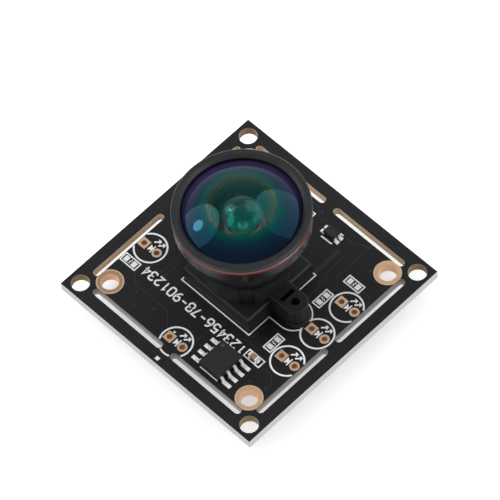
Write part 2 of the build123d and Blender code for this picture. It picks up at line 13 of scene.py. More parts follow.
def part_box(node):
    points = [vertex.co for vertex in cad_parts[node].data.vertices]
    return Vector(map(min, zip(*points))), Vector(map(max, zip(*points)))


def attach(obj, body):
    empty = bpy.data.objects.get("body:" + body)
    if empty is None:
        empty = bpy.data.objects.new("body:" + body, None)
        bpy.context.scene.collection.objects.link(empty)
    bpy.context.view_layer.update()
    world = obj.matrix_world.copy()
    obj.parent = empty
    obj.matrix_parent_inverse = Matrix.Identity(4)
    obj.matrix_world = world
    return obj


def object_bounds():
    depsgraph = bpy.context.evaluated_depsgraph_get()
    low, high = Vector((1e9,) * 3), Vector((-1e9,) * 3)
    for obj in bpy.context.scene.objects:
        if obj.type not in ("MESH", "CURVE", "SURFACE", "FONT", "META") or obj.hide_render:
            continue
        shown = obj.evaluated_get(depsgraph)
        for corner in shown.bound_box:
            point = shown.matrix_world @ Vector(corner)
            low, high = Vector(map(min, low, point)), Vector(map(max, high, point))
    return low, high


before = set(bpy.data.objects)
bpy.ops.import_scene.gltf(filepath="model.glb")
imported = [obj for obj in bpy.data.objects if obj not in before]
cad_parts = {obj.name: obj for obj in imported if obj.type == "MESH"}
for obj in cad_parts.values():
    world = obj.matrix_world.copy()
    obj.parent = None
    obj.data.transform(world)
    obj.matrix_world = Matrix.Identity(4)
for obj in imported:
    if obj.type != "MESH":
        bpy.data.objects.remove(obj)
CAD_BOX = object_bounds()

MM = 0.001
log = logging.getLogger("camera module")

Point = tuple[float, float]
Colour = tuple[float, float, float]
Number = Union[float, "Value"]


# Node trees

def math_method(operation: str, swapped: bool = False) -> Callable[..., "Value"]:
    """A method of Value that adds one Math node.

    Args:
        operation: The node's operation.
        swapped: Whether the other number comes first.

    Returns:
        The method.
    """
    def method(value: "Value", *others: Number) -> "Value":
        """The node's result."""
        return value.tree.math(operation, *((*others, value) if swapped else (value, *others)))
    return method


class Value:
    """A node's output, which Python's operators extend with Math nodes."""

    __add__, __radd__ = math_method("ADD"), math_method("ADD", swapped=True)
    __sub__, __rsub__ = math_method("SUBTRACT"), math_method("SUBTRACT", swapped=True)
    __mul__, __rmul__ = math_method("MULTIPLY"), math_method("MULTIPLY", swapped=True)
    __truediv__, __pow__ = math_method("DIVIDE"), math_method("POWER")
    __gt__, __abs__ = math_method("GREATER_THAN"), math_method("ABSOLUTE")

    def __init__(self, tree: "Tree", socket: bpy.types.NodeSocket) -> None:
        """Keep the tree and the output."""
        self.tree = tree
        self.socket = socket

    def other(self, name: str) -> "Value":
        """Another output of the same node, by name."""
        return Value(self.tree, self.socket.node.outputs[name])


class Tree:
    """A node tree, with one method that adds any node to it."""

    def __init__(self, tree: bpy.types.NodeTree) -> None:
        """Keep Blender's own tree."""
        self.tree = tree

    def feed(self, socket: bpy.types.NodeSocket, value: object) -> None:
        """Give an input its link or its fixed value.

        Args:
            socket: The input.
            value: A Value to link, or a number, colour, vector or data block.
        """
        if isinstance(value, Value):
            self.tree.links.new(value.socket, socket)
        elif socket.type == "RGBA":
            socket.default_value = (*value[:3], 1.0)
        else:
            socket.default_value = value

    def node(self, kind: str, inputs: dict | None = None, output: int | str = 0, **settings: object) -> Value:
        """Add one node.

        Args:
            kind: The node's type.
            inputs: Values or links for its sockets, by name or number.
            output: The output to return, by name or number.
            **settings: Its settings, set before its sockets; stops are a ramp's places and colours.

        Returns:
            That output, or the node's only input for a node that ends the tree.
        """
        made = self.tree.nodes.new(kind)
        for name, setting in settings.items():
            if name == "stops":
                self.set_stops(made.color_ramp, setting)
            else:
                setattr(made, name, setting)
        for name, value in (inputs or {}).items():
            self.feed(made.inputs[name], value)
        return Value(self, made.outputs[output] if made.outputs else made.inputs[0])

    @staticmethod
    def set_stops(ramp: bpy.types.ColorRamp, stops: Sequence[tuple[float, Colour]]) -> None:
        """Fill a colour ramp.

        Args:
            ramp: The ramp, with its two stops as made.
            stops: Two or more places and colours, in rising order.
        """
        while len(ramp.elements) < len(stops):
            ramp.elements.new(0.5)
        for element, (place, colour) in zip(ramp.elements, stops):
            element.position = place
            element.color = (*colour, 1.0)

    def math(self, operation: str, *numbers: Number) -> Value:
        """The result of one Math node."""
        return self.node("ShaderNodeMath", dict(enumerate(numbers)), operation=operation)

    def sight(self) -> tuple[Value, Value]:
        """1 for what the camera sees, and 1 for what is seen in gloss or through glass."""
        path = self.node("ShaderNodeLightPath")
        return path, self.math("MAXIMUM", path.other("Is Glossy Ray"), path.other("Is Transmission Ray"))


class Shader(Tree):
    """A material under construction, with the patterns that the finishes share, in millimetres."""

    def __init__(self, name: str) -> None:
        """Start an empty material.

        Args:
            name: The material's name.
        """
        self.material = bpy.data.materials.new(name)
        self.material.use_nodes = True
        super().__init__(self.material.node_tree)
        self.tree.nodes.clear()
        place = self.node("ShaderNodeTexCoord", output="Object")
        self.place = self.node("ShaderNodeVectorMath", {0: place, "Scale": 1 / MM}, operation="SCALE")
        self.x = self.node("ShaderNodeSeparateXYZ", {0: self.place})
        self.y, self.z = self.x.other("Y"), self.x.other("Z")

    def length(self, dx: Value, dy: Value) -> Value:
        """The length of a step across and along."""
        return self.math("SQRT", dx * dx + dy * dy)

    def radius(self) -> Value:
        """The distance from the lens axis."""
        return self.length(self.x, self.y)

    def angle(self) -> Value:
        """The turn about the lens axis, in radians."""
        return self.math("ARCTAN2", self.y, self.x)

    def stretched(self, along: Sequence[float]) -> Value:
        """The place with each axis scaled, for patterns longer one way than another."""
        return self.node("ShaderNodeMapping", {"Vector": self.place, "Scale": along})

    def noise(self, size: float, detail: float = 2.0, place: Value | None = None) -> Value:
        """Soft random values from 0 to 1 in patches of a size in millimetres, with finer layers."""
        return self.node("ShaderNodeTexNoise",
                         {"Vector": place or self.place, "Scale": 1 / size, "Detail": detail})

    def rise(self, value: Value, low: float, high: float) -> Value:
        """A smooth step from 0 at low to 1 at high."""
        return self.node("ShaderNodeMapRange", {"Value": value, "From Min": low, "From Max": high},
                         interpolation_type="SMOOTHSTEP")

    def within(self, value: Value, low: float, high: float, soft: float = 0.02) -> Value:
        """1 between two values and 0 outside them, with soft borders."""
        return self.rise(value, low - soft, low + soft) * (1 - self.rise(value, high - soft, high + soft))

    def wave(self, value: Value, pitch: float) -> Value:
        """A wave from 0 to 1 that repeats at a pitch."""
        return self.math("SINE", value * (2 * math.pi / pitch)) * 0.5 + 0.5

    def mix(self, share: Number, first: object, second: object) -> Value:
        """One colour turning into another as the share goes from 0 to 1."""
        return self.node("ShaderNodeMix", {0: share, 6: first, 7: second}, 2, data_type="RGBA")

    def relief(self, height: Value, depth: float) -> Value:
        """A surface relief from heights of 0 to 1, with its depth in millimetres."""
        return self.node("ShaderNodeBump", {"Height": height, "Distance": depth * MM}, "Normal")

    def body(self, **sockets: object) -> Value:
        """The main surface shader, with _ for each space in a socket's name."""
        inputs = {name.replace("_", " "): value for name, value in sockets.items()}
        return self.node("ShaderNodeBsdfPrincipled", inputs)

    def either(self, share: Number, first: Value, second: Value) -> Value:
        """One surface turning into another as the share goes from 0 to 1."""
        return self.node("ShaderNodeMixShader", {0: share, 1: first, 2: second})

    def coated(self, glass: Value, mirror: Value, blend: float, share: float, gain: float) -> Value:
        """Glass under a mirror layer that grows where the surface turns away.

        Args:
            glass: The glass.
            mirror: The layer's surface.
            blend: How soon the surface counts as turned away.
            share: The layer's share where the surface faces the eye.
            gain: How much it grows.

        Returns:
            The coated surface.
        """
        facing = self.node("ShaderNodeLayerWeight", {"Blend": blend}, "Facing")
        return self.either(share + facing * gain, glass, mirror)

    def close(self, surface: Value) -> bpy.types.Material:
        """End the material in its surface and return it."""
        self.node("ShaderNodeOutputMaterial", {"Surface": surface})
        return self.material


# Finishes

@dataclass(frozen=True)
class Finish:
    """A named finish that builds its material once."""

    name: str

    def surface(self, shader: Shader) -> Value:
        """The finish's surface.

        Args:
            shader: The material under construction.

        Returns:
            The surface shader's output.
        """
        raise NotImplementedError

    def material(self) -> bpy.types.Material:
        """The finish's material, built when it is first asked for."""
        return bpy.data.materials.get(self.name) or self.build()

    def build(self) -> bpy.types.Material:
        """Build the material."""
        shader = Shader(self.name)
        return shader.close(self.surface(shader))


@dataclass(frozen=True)
class BoardFinish(Finish):
    """Black solder mask on both faces, bare glass board on the edge and in the slots and holes, with painted
    shade on the slot walls of the -y and +x sides.
    """

    mask: Colour = (0.0088, 0.0090, 0.0099)
    mask_worn: Colour = (0.0150, 0.0155, 0.0166)
    edge: Colour = (0.93, 0.87, 0.85)
    tan: Colour = (0.90, 0.74, 0.55)
    olive: Colour = (0.44, 0.33, 0.17)
    fibre: Colour = (0.36, 0.27, 0.20)
    wall_painted_dark_top: Colour = (0.36, 0.33, 0.32)
    wall_painted_pale_foot: Colour = (0.97, 0.94, 0.95)
    half_side: float = 19.0
    hole_reach: float = 15.2
    border_start: float = 16.9
    thickness: float = 1.6
    weave_pitch: float = 0.62

    def surface(self, shader: Shader) -> Value:
        """Mask on the faces by height, board layers on the walls by place, painted shade on two sides' walls.
        """
        depth = self.thickness / 2 - abs(shader.z - self.thickness / 2)
        wall = shader.rise(depth, 0.015, 0.03)
        across, along = abs(shader.x), abs(shader.y)
        reach = shader.math("MAXIMUM", across, along)
        outside = reach > self.half_side - 0.03
        fibre = shader.noise(0.5, 4.0, shader.stretched((0.5, 0.5, 9.0)))
        # Painted shade: on the -y and +x sides the bare walls are grey, dark at the top and pale at the foot;
        # elsewhere the same board is tan.
        grey = shader.mix(shader.z / self.thickness, self.wall_painted_pale_foot, self.wall_painted_dark_top)
        corner_hole = shader.math("MINIMUM", across, along) > self.hole_reach
        bare = shader.mix((shader.y - shader.x) > 0.0, grey, self.tan)
        bare = shader.mix(outside, shader.mix(corner_hole, bare, self.olive), self.edge)
        bare = shader.mix(fibre * (0.5 - outside * 0.3), bare, self.fibre)
        cloud = shader.noise(5.0, 3.0) + shader.rise(reach, self.border_start, self.border_start + 0.3) * 0.6
        weave = shader.wave(shader.x, self.weave_pitch) * shader.wave(shader.y, self.weave_pitch)
        black = shader.mix(cloud * 0.6 + weave * 0.12, self.mask, self.mask_worn)
        height = shader.noise(0.16, 2.0) * 0.5 + weave * 0.5 + fibre * wall
        return shader.body(Base_Color=shader.mix(wall, black, bare), Specular_IOR_Level=0.22,
                           Roughness=0.40 + 0.14 * shader.noise(1.3, 3.0) + wall * 0.2,
                           Normal=shader.relief(height, 0.006))


@dataclass(frozen=True)
class CopperFinish(Finish):
    """Brown copper lands with painted shade that darkens them towards one side, a paler rim, a bright wall in
    the large holes and a wall with painted shade in the small.
    """

    land: Colour = (0.86, 0.56, 0.33)
    land_dull_and_painted_shade: Colour = (0.34, 0.195, 0.105)
    rim: Colour = (0.78, 0.56, 0.40)
    wall: Colour = (0.95, 0.62, 0.39)
    small_wall_painted_shade: Colour = (0.52, 0.25, 0.045)
    centre: float = 14.0
    hole_radius: float = 1.4
    rim_radius: float = 1.86
    painted_shade_reach: float = 15.0
    board_top: float = 1.6

    def surface(self, shader: Shader) -> Value:
        """Brushed copper, by distance from each hole and height in the board, with painted shade across the
        board and in the small holes.
        """
        inside = shader.within(shader.z, 0.0, self.board_top, 0.015)
        reach = shader.length(abs(shader.x) - self.centre, abs(shader.y) - self.centre)
        rim = shader.rise(reach, self.rim_radius - 0.06, self.rim_radius + 0.05)
        rub = shader.noise(0.35, 4.0, shader.stretched((1.0, 2.4, 1.0)))
        # Painted shade: the lands darken from one side of the board to the other.
        painted_shade_across = shader.rise(shader.x, -self.painted_shade_reach, self.painted_shade_reach)
        colour = shader.mix(rub * 0.4 + painted_shade_across * 0.6, self.land_dull_and_painted_shade, self.land)
        colour = shader.mix(rim * 0.75, colour, self.rim)
        # Painted shade: the small holes' walls are darker than the large ones'.
        small = shader.rise(reach, self.hole_radius + 0.2, self.hole_radius + 0.3)
        colour = shader.mix(inside, colour, shader.mix(small, self.wall, self.small_wall_painted_shade))
        return shader.body(Base_Color=colour, Metallic=0.6 - inside * 0.3,
                           Roughness=0.36 + 0.16 * rub, Normal=shader.relief(rub, 0.004))


@dataclass(frozen=True)
class MetalFinish(Finish):
    """Plated or tinned metal with soft spots and fine scratches."""

    colour: Colour
    dull: Colour
    rough: float = 0.3
    grain: float = 0.4
    depth: float = 0.004
    metallic: float = 0.94

    def surface(self, shader: Shader) -> Value:
        """Metal whose colour and gloss drift over the piece."""
        spot = shader.noise(self.grain, 4.0)
        scratch = shader.noise(self.grain / 3, 2.0, shader.stretched((1.0, 7.0, 1.0)))
        return shader.body(Base_Color=shader.mix(spot * 0.7, self.colour, self.dull), Metallic=self.metallic,
                           Roughness=self.rough + 0.15 * spot + 0.08 * scratch,
                           Normal=shader.relief(spot * 0.6 + scratch * 0.4, self.depth))


@dataclass(frozen=True)
class GrainFinish(Finish):
    """Ink, mask, plastic, enamel or ceramic: two colours, a gloss and a relief that follow soft noise.

    The cloud, the grain and the bump are each a patch's size in millimetres and its detail.
    """

    colour: Colour
    second: Colour
    cloud: Point = (2.5, 3.0)
    grain: Point = (0.07, 3.0)
    bump: Point | None = None
    cloud_share: float = 0.5
    grain_share: float = 0.5
    contrast: Point | None = None
    rough: float = 0.46
    uneven: float = 0.16
    gloss: float = 0.28
    depth: float = 0.006

    def surface(self, shader: Shader) -> Value:
        """Two colours mixed by the cloud and the grain, rougher where the grain is high."""
        cloud, grain = shader.noise(*self.cloud), shader.noise(*self.grain)
        bump = shader.noise(*self.bump) if self.bump else grain
        speck = shader.rise(grain, *self.contrast) if self.contrast else grain
        share = cloud * self.cloud_share + speck * self.grain_share
        return shader.body(Base_Color=shader.mix(share, self.colour, self.second),
                           Roughness=self.rough + self.uneven * grain,
                           Specular_IOR_Level=self.gloss, Normal=shader.relief(bump, self.depth))


@dataclass(frozen=True)
class TurnedFinish(Finish):
    """Black anodised metal with lathe marks round the lens axis."""

    colour: Colour = (0.030, 0.031, 0.034)
    pale: Colour = (0.075, 0.078, 0.086)
    rough: float = 0.33
    pitch: float = 0.16
    depth: float = 0.004
    metallic: float = 0.72
    uneven: float = 0.14
    drift: Point = (1.6, 3.0)
    mark_share: float = 0.35
    drift_share: float = 0.35

    def surface(self, shader: Shader) -> Value:
        """Satin dark metal, paler on the crests of the marks, with the piece's own zones."""
        marks = shader.wave(shader.radius() + shader.z, self.pitch) * (0.5 + 0.5 * shader.noise(0.9, 2.0))
        drift = shader.noise(*self.drift)
        colour = shader.mix(marks * self.mark_share + drift * self.drift_share, self.colour, self.pale)
        sockets = {"Base_Color": colour, "Metallic": self.metallic, "Specular_IOR_Level": 0.4,
                   "Roughness": self.rough + self.uneven * drift}
        return shader.body(**{**sockets, **self.zones(shader, marks, sockets)})

    def zones(self, shader: Shader, marks: Value, plain: dict[str, object]) -> dict[str, object]:
        """What differs from the plain metal: here only the relief of the marks.

        Args:
            shader: The material under construction.
            marks: The lathe marks, from 0 to 1.
            plain: The plain metal's sockets.

        Returns:
            The sockets to set in their place or beside them.
        """
        return {"Normal": shader.relief(marks, self.depth)}


@dataclass(frozen=True)
class KnurledFinish(TurnedFinish):
    """The focusing barrel: satin flange, a bright collar lip, and a matt thread below."""

    metallic: float = 0.7
    uneven: float = 0.16
    drift: Point = (1.2, 3.0)
    mark_share: float = 0.3
    drift_share: float = 0.4
    thread_top: float = 8.2
    thread_pitch: float = 0.5
    lip_low: float = 9.65
    lip_radius: float = 5.23
    lip: Colour = (0.52, 0.54, 0.57)

    def zones(self, shader: Shader, marks: Value, plain: dict[str, object]) -> dict[str, object]:
        """The lip's colour and the thread's helix."""
        pitch = self.thread_pitch
        turns = shader.wave(shader.z + shader.angle() * (pitch / (2 * math.pi)), pitch)
        thread = 1 - shader.rise(shader.z, self.thread_top - 0.02, self.thread_top + 0.02)
        lip = shader.rise(shader.z, self.lip_low, self.lip_low + 0.2)
        lip = lip * (1 - shader.rise(shader.radius(), self.lip_radius, self.lip_radius + 0.08))
        height = marks * (1 - thread) * 0.3 + turns * thread
        return {"Base_Color": shader.mix(lip, plain["Base_Color"], self.lip),
                "Normal": shader.relief(height, self.depth * 2)}


@dataclass(frozen=True)
class CellFinish(TurnedFinish):
    """The middle cell: black outside, with a pale satin cone down to its glass."""

    metallic: float = 0.8
    uneven: float = 0.12
    cone_radius: float = 5.9
    cone_low: float = 12.0
    cone: Colour = (0.42, 0.43, 0.45)

    def zones(self, shader: Shader, marks: Value, plain: dict[str, object]) -> dict[str, object]:
        """The cone's colour by radius and height, and the marks' relief."""
        cone = 1 - shader.rise(shader.radius(), self.cone_radius, self.cone_radius + 0.06)
        cone = cone * shader.rise(shader.z, self.cone_low, self.cone_low + 0.1)
        return {"Base_Color": shader.mix(cone, plain["Base_Color"], self.cone),
                "Normal": shader.relief(marks, self.depth)}


@dataclass(frozen=True)
class FrontBarrelFinish(TurnedFinish):
    """The front barrel: black taper, a band with a painted sheen, dark at one turn and its opposite and pale
    between, glossy bevelled rim, and matt black inside.
    """

    rough: float = 0.26
    metallic: float = 0.85
    uneven: float = 0.1
    drift: Point = (6.0, 1.0)
    mark_share: float = 0.3
    drift_share: float = 0.3
    foot_z: float = 11.7
    foot_radius: float = 6.55
    slope: float = 0.427
    inner_limit: float = 8.82
    seat_z: float = 17.38
    band_low: float = 16.4
    band_high: float = 18.3
    rim_low: float = 18.62
    # The band's colour and its painted shade are the pale and dark ends of a painted sheen.
    band: Colour = (0.36, 0.365, 0.38)
    band_painted_shade: Colour = (0.020, 0.020, 0.022)
    painted_sheen_turn: float = 0.7
    rim: Colour = (0.20, 0.205, 0.215)
    seat: Colour = (0.54, 0.55, 0.57)
    inside: Colour = (0.010, 0.010, 0.011)

    def zones(self, shader: Shader, marks: Value, plain: dict[str, object]) -> dict[str, object]:
        """Bands by height outside, the band with a painted sheen by turn; inside, a satin seat over ridged
        black.
        """
        skin = shader.math("MINIMUM", self.foot_radius + (shader.z - self.foot_z) * self.slope,
                           self.inner_limit)
        inner = 1 - shader.rise(shader.radius() - skin, -0.05, 0.05)
        band = shader.within(shader.z, self.band_low, self.band_high)
        rim = shader.rise(shader.z, self.rim_low, self.rim_low + 0.03)
        # Painted sheen: the band is dark at one turn and its opposite and pale at the sides between, a
        # painted reflection of turned metal.
        sheen = (0.5 - 0.5 * shader.math("COSINE", 2 * (shader.angle() + self.painted_sheen_turn))) ** 1.6
        colour = shader.mix(band, plain["Base_Color"], shader.mix(sheen, self.band_painted_shade, self.band))
        colour = shader.mix(rim, colour, self.rim)
        seat = inner * shader.within(shader.z, self.seat_z - 0.03, self.seat_z + 0.03)
        colour = shader.mix(seat, shader.mix(inner, colour, self.inside), self.seat)
        black = inner * (1 - seat)
        return {"Base_Color": colour, "Metallic": self.metallic - black * 0.75,
                "Roughness": plain["Roughness"] - band * 0.1 - rim * 0.1 + black * 0.3 + seat * 0.06,
                "Normal": shader.relief(shader.wave(shader.radius(), 0.3) * black, 0.03)}


@dataclass(frozen=True)
class GlassFinish(Finish):
    """A coated lens element: clear glass, a coloured reflection, and a ground edge."""

    tint: Colour
    sheen: Colour
    edge: Colour
    edge_radius: float

    def surface(self, shader: Shader) -> Value:
        """Glass under a coloured mirror layer, with a matt ground edge by radius."""
        drift = shader.noise(1.5, 3.0)
        radius = shader.radius()
        red, green, blue = self.sheen
        glass = shader.body(Base_Color=shader.mix(drift * 0.2, self.tint, (1.0, 1.0, 1.0)),
                            Roughness=0.02 + drift * 0.015, Transmission_Weight=1.0, Specular_Tint=self.sheen)
        tone = shader.node("ShaderNodeValToRGB", {0: radius / self.edge_radius}, stops=[
            (0.0, (0.6 * red, 0.6 * green, 0.6 * blue)), (0.6, self.sheen), (1.0, (blue, red, green))])
        mirror = shader.body(Base_Color=tone, Metallic=1.0, Roughness=0.05 + drift * 0.04)
        ground = shader.body(Base_Color=shader.mix(drift, self.edge, (0.8, 0.82, 0.82)),
                             Roughness=0.5 + drift * 0.2)
        rim = shader.rise(radius, self.edge_radius - 0.08, self.edge_radius - 0.02)
        return shader.either(rim, shader.coated(glass, mirror, 0.35, 0.10, 0.25), ground)


@dataclass(frozen=True)
class FrontGlassFinish(Finish):
    """The front element: the coating's green and violet reflections painted onto its painted back, a clear
    middle, a bronze edge with a painted highlight on one side.
    """

    hollow_radius: float = 4.9
    edge_radius: float = 8.75
    # Painted reflections of the coating, laid into the back's colour.
    navy_painted_reflection: Colour = (0.006, 0.008, 0.028)
    violet_painted_reflection: Colour = (0.036, 0.026, 0.080)
    green: Colour = (0.003, 0.072, 0.048)
    teal_painted_reflection: Colour = (0.004, 0.026, 0.038)
    dark: Colour = (0.003, 0.004, 0.007)
    # The bronze edge and its painted shade; the turn places its painted highlight.
    bronze: Colour = (0.13, 0.068, 0.037)
    bronze_painted_shade: Colour = (0.026, 0.017, 0.014)
    bronze_highlight_turn: float = 0.5
    glare: Colour = (0.04, 0.36, 0.54)
    crown_index: float = 1.52

    def surface(self, shader: Shader) -> Value:
        """The coating's reflections painted behind the outer zone, clear over the hollow, matt bronze with a
        painted highlight on the edge.
        """
        radius, hollow = shader.radius(), self.hollow_radius
        drift = shader.noise(2.2, 3.0)
        # Painted reflection: the back is violet towards one side and navy towards the other, green to teal
        # round the hollow.
        side = shader.rise(shader.x * -0.8 + shader.y * 0.6, -6.0, 7.5)
        outer = shader.mix(side, self.navy_painted_reflection, self.violet_painted_reflection)
        middle = shader.mix(shader.rise(radius, hollow, hollow + 1.5), self.green, self.teal_painted_reflection)
        painted_reflection = shader.mix(shader.rise(radius, hollow + 0.9, hollow + 2.8), middle, outer)
        painted_reflection = shader.mix(shader.wave(radius, 0.42) * 0.12 + drift * 0.15, painted_reflection, self.dark)
        painted = shader.body(Base_Color=painted_reflection, Roughness=0.035 + drift * 0.02, IOR=self.crown_index,
                              Specular_IOR_Level=0.45, Specular_Tint=self.glare)
        # Painted highlight: the bronze edge is bright round one turn and dark elsewhere.
        turn = (0.5 + 0.5 * shader.math("COSINE", shader.angle() + self.bronze_highlight_turn)) ** 3.0
        bronze = shader.body(Base_Color=shader.mix(turn * 0.9 + drift * 0.1, self.bronze_painted_shade, self.bronze),
                             Metallic=0.6, Roughness=0.3 + drift * 0.2)
        glass = shader.body(Base_Color=shader.mix(drift * 0.3, (0.90, 0.99, 0.95), (1.0, 1.0, 1.0)),
                            IOR=self.crown_index, Roughness=0.01 + drift * 0.012, Transmission_Weight=1.0,
                            Specular_IOR_Level=0.3, Specular_Tint=self.glare)
        tone = shader.node("ShaderNodeValToRGB", {0: radius / hollow}, stops=[
            (0.0, (0.25, 0.90, 0.70)), (0.7, (0.05, 0.60, 0.40)), (1.0, (0.45, 0.60, 0.20))])
        mirror = shader.body(Base_Color=tone, Metallic=1.0, Roughness=0.04 + drift * 0.03)
        clear = shader.coated(glass, mirror, 0.3, 0.03, 0.2)
        covered = shader.rise(radius, hollow - 0.15, hollow + 0.35)
        rim = shader.rise(radius, self.edge_radius - 0.06, self.edge_radius - 0.02)
        return shader.either(rim, shader.either(covered, clear, painted), bronze)


@dataclass(frozen=True)
class SensorFinish(Finish):
    """The sensor's chip: a shimmering pixel field inside a ceramic frame."""

    field_half: float = 2.6
    cell: float = 0.12
    blue: Colour = (0.05, 0.10, 0.16)
    plum: Colour = (0.16, 0.08, 0.14)
    gap: Colour = (0.02, 0.04, 0.04)
    ceramic: Colour = (0.05, 0.05, 0.06)

    def surface(self, shader: Shader) -> Value:
        """Fine cells in the field, plain ceramic round it."""
        reach = shader.math("MAXIMUM", abs(shader.x), abs(shader.y))
        outside = shader.rise(reach, self.field_half, self.field_half + 0.05)
        cells = shader.wave(shader.x, self.cell) * shader.wave(shader.y, self.cell)
        pixels = shader.mix(shader.noise(1.2, 2.0), self.blue, self.plum)
        pixels = shader.mix(cells * 0.5, pixels, self.gap)
        return shader.body(Base_Color=shader.mix(outside, pixels, self.ceramic), Metallic=0.7 - outside * 0.7,
                           Roughness=0.25 + outside * 0.3, Normal=shader.relief(cells, 0.003))


@dataclass(frozen=True)
class FloorFinish(Finish):
    """A pale floor that looks white to the camera and keeps the object's shadow."""

    colour: Colour = (0.80, 0.80, 0.80)
    cloud: Colour = (0.72, 0.72, 0.72)
    glow: Colour = (0.55, 0.55, 0.55)

    def surface(self, shader: Shader) -> Value:
        """Matt white, lifted only for what the camera, metal and glass see."""
        seen = shader.math("MAXIMUM", *shader.sight())
        tone = shader.mix(shader.noise(60.0, 2.0) * 0.04, self.colour, self.cloud)
        return shader.body(Base_Color=tone, Roughness=0.9, Specular_IOR_Level=0.0,
                           Emission_Color=shader.mix(seen, (0.0, 0.0, 0.0), self.glow), Emission_Strength=1.0)


class Finishes:
    """The finishes of this object."""

    TIN = ((0.98, 0.98, 0.98), (0.88, 0.88, 0.89))
    FIRED = {"cloud": (0.9, 2.0), "grain": (0.12, 4.0), "cloud_share": 0.3, "contrast": (0.42, 0.72),
             "uneven": 0.15, "gloss": 0.4, "depth": 0.008}

    BOARD = BoardFinish("black mask on glass board")
    TRACK = GrainFinish("mask over track", (0.021, 0.0215, 0.0235), (0.02835, 0.029025, 0.031725),
                        cloud=(2.2, 3.0), grain=(0.8, 2.0), bump=(0.15, 2.0), cloud_share=1.0,
                        grain_share=0.0, rough=0.36, uneven=0.12, gloss=0.25, depth=0.005)
    COPPER = CopperFinish("rose copper")
    TINNED = MetalFinish("tinned land", *TIN, rough=0.34, metallic=0.2)
    SOLDER = MetalFinish("solder", *TIN, rough=0.2, grain=0.25, depth=0.02, metallic=0.25)
    PIN = MetalFinish("tinned pin", *TIN, rough=0.22, metallic=0.2)
    STEEL = MetalFinish("plated lid", (0.90, 0.90, 0.91), (0.66, 0.66, 0.68), rough=0.24, metallic=0.6)
    SCREW = MetalFinish("black zinc", (0.10, 0.10, 0.108), (0.05, 0.05, 0.055), rough=0.32)
    INK = GrainFinish("white print", (0.96, 0.96, 0.96), (0.80, 0.80, 0.80), grain=(0.35, 4.0),
                      bump=(0.08, 2.0), cloud_share=0.0, grain_share=1.0, contrast=(0.45, 0.85),
                      rough=0.55, uneven=0.2, gloss=0.25, depth=0.004)
    HOLDER = GrainFinish("holder plastic", (0.0085, 0.0088, 0.0095), (0.018, 0.0185, 0.0195), rough=0.36)
    CHIP = GrainFinish("chip compound", (0.013, 0.013, 0.0145), (0.027, 0.027, 0.029), rough=0.5, depth=0.01)
    CHIP_MARK = GrainFinish("chip mark", (0.05, 0.05, 0.053), (0.085, 0.085, 0.09), rough=0.3)
    NYLON = GrainFinish("connector nylon", (0.78, 0.75, 0.66), (0.86, 0.84, 0.78), rough=0.38, depth=0.008)
    RED = GrainFinish("red enamel", (0.50, 0.004, 0.010), (0.26, 0.002, 0.006), grain=(0.7, 3.0),
                      cloud_share=0.0, grain_share=1.0, rough=0.3, uneven=0.14, gloss=0.3, depth=0.01)
    BROWN = GrainFinish("brown ceramic", (0.42, 0.27, 0.17), (0.24, 0.14, 0.085), rough=0.4, **FIRED)
    BLACK = GrainFinish("black ceramic", (0.018, 0.018, 0.022), (0.045, 0.045, 0.05), rough=0.25, **FIRED)
    FERRITE = GrainFinish("ferrite", (0.075, 0.075, 0.08), (0.035, 0.035, 0.04), rough=0.55, **FIRED)
    TURNED = TurnedFinish("turned black metal")
    CELL = CellFinish("turned cell metal")
    RING = TurnedFinish("satin black ring", (0.030, 0.030, 0.032), (0.070, 0.070, 0.075), 0.3, 0.11)
    BRIGHT = TurnedFinish("grey turned edge", (0.10, 0.105, 0.11), (0.22, 0.225, 0.235), 0.26)
    FOCUS = KnurledFinish("knurled barrel metal")
    FRONT_BARREL = FrontBarrelFinish("front barrel metal")
    REAR_GLASS = GlassFinish("rear glass", (0.86, 1.0, 0.94), (0.10, 0.75, 0.52), (0.90, 0.92, 0.92), 4.5)
    MIDDLE_GLASS = GlassFinish("middle glass", (0.90, 0.98, 1.0), (0.30, 0.70, 0.80), (0.75, 0.82, 0.85), 4.4)
    SECOND_GLASS = GlassFinish("second glass", (0.78, 1.0, 0.90), (0.05, 0.80, 0.50), (0.5, 0.6, 0.58), 4.5)
    FIELD_GLASS = GlassFinish("field glass", (0.92, 1.0, 0.97), (0.25, 0.65, 0.75), (0.6, 0.65, 0.65), 3.85)
    FRONT_GLASS = FrontGlassFinish("front glass")
    FILTER = GlassFinish("filter glass", (0.70, 0.92, 0.92), (0.75, 0.25, 0.35), (0.5, 0.6, 0.6), 6.0)
    COVER = GlassFinish("sensor cover glass", (0.95, 1.0, 1.0), (0.5, 0.6, 0.7), (0.5, 0.6, 0.6), 6.0)
    SENSOR = SensorFinish("sensor field")
    FLOOR = FloorFinish("studio floor")


# Pieces

def new_mesh_object(name: str, mesh: bpy.types.Mesh) -> bpy.types.Object:
    """A shown object for a mesh.

    Args:
        name: The object's name.
        mesh: The mesh.

    Returns:
        The object.
    """
    piece = bpy.data.objects.new(name, mesh)
    bpy.context.scene.collection.objects.link(piece)
    return piece


def mesh_mm(name: str, verts: Sequence[Sequence[float]],
            faces: Sequence[Sequence[int]] = ()) -> bpy.types.Mesh:
    """A mesh from corners in millimetres.

    Args:
        name: The mesh's name.
        verts: The corners.
        faces: The corners' numbers of each face.

    Returns:
        The mesh.
    """
    mesh = bpy.data.meshes.new(name)
    mesh.from_pydata([(x * MM, y * MM, z * MM) for x, y, z in verts], [], faces)
    return mesh


def fit_piece(piece: bpy.types.Object, body: str) -> None:
    """Let a finished piece move with its body and report it.

    Args:
        piece: The piece, at rest.
        body: The body that it rides on.
    """
    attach(piece, body)
    log.info("%s rides on %s with %d faces", piece.name, body, len(piece.data.polygons))


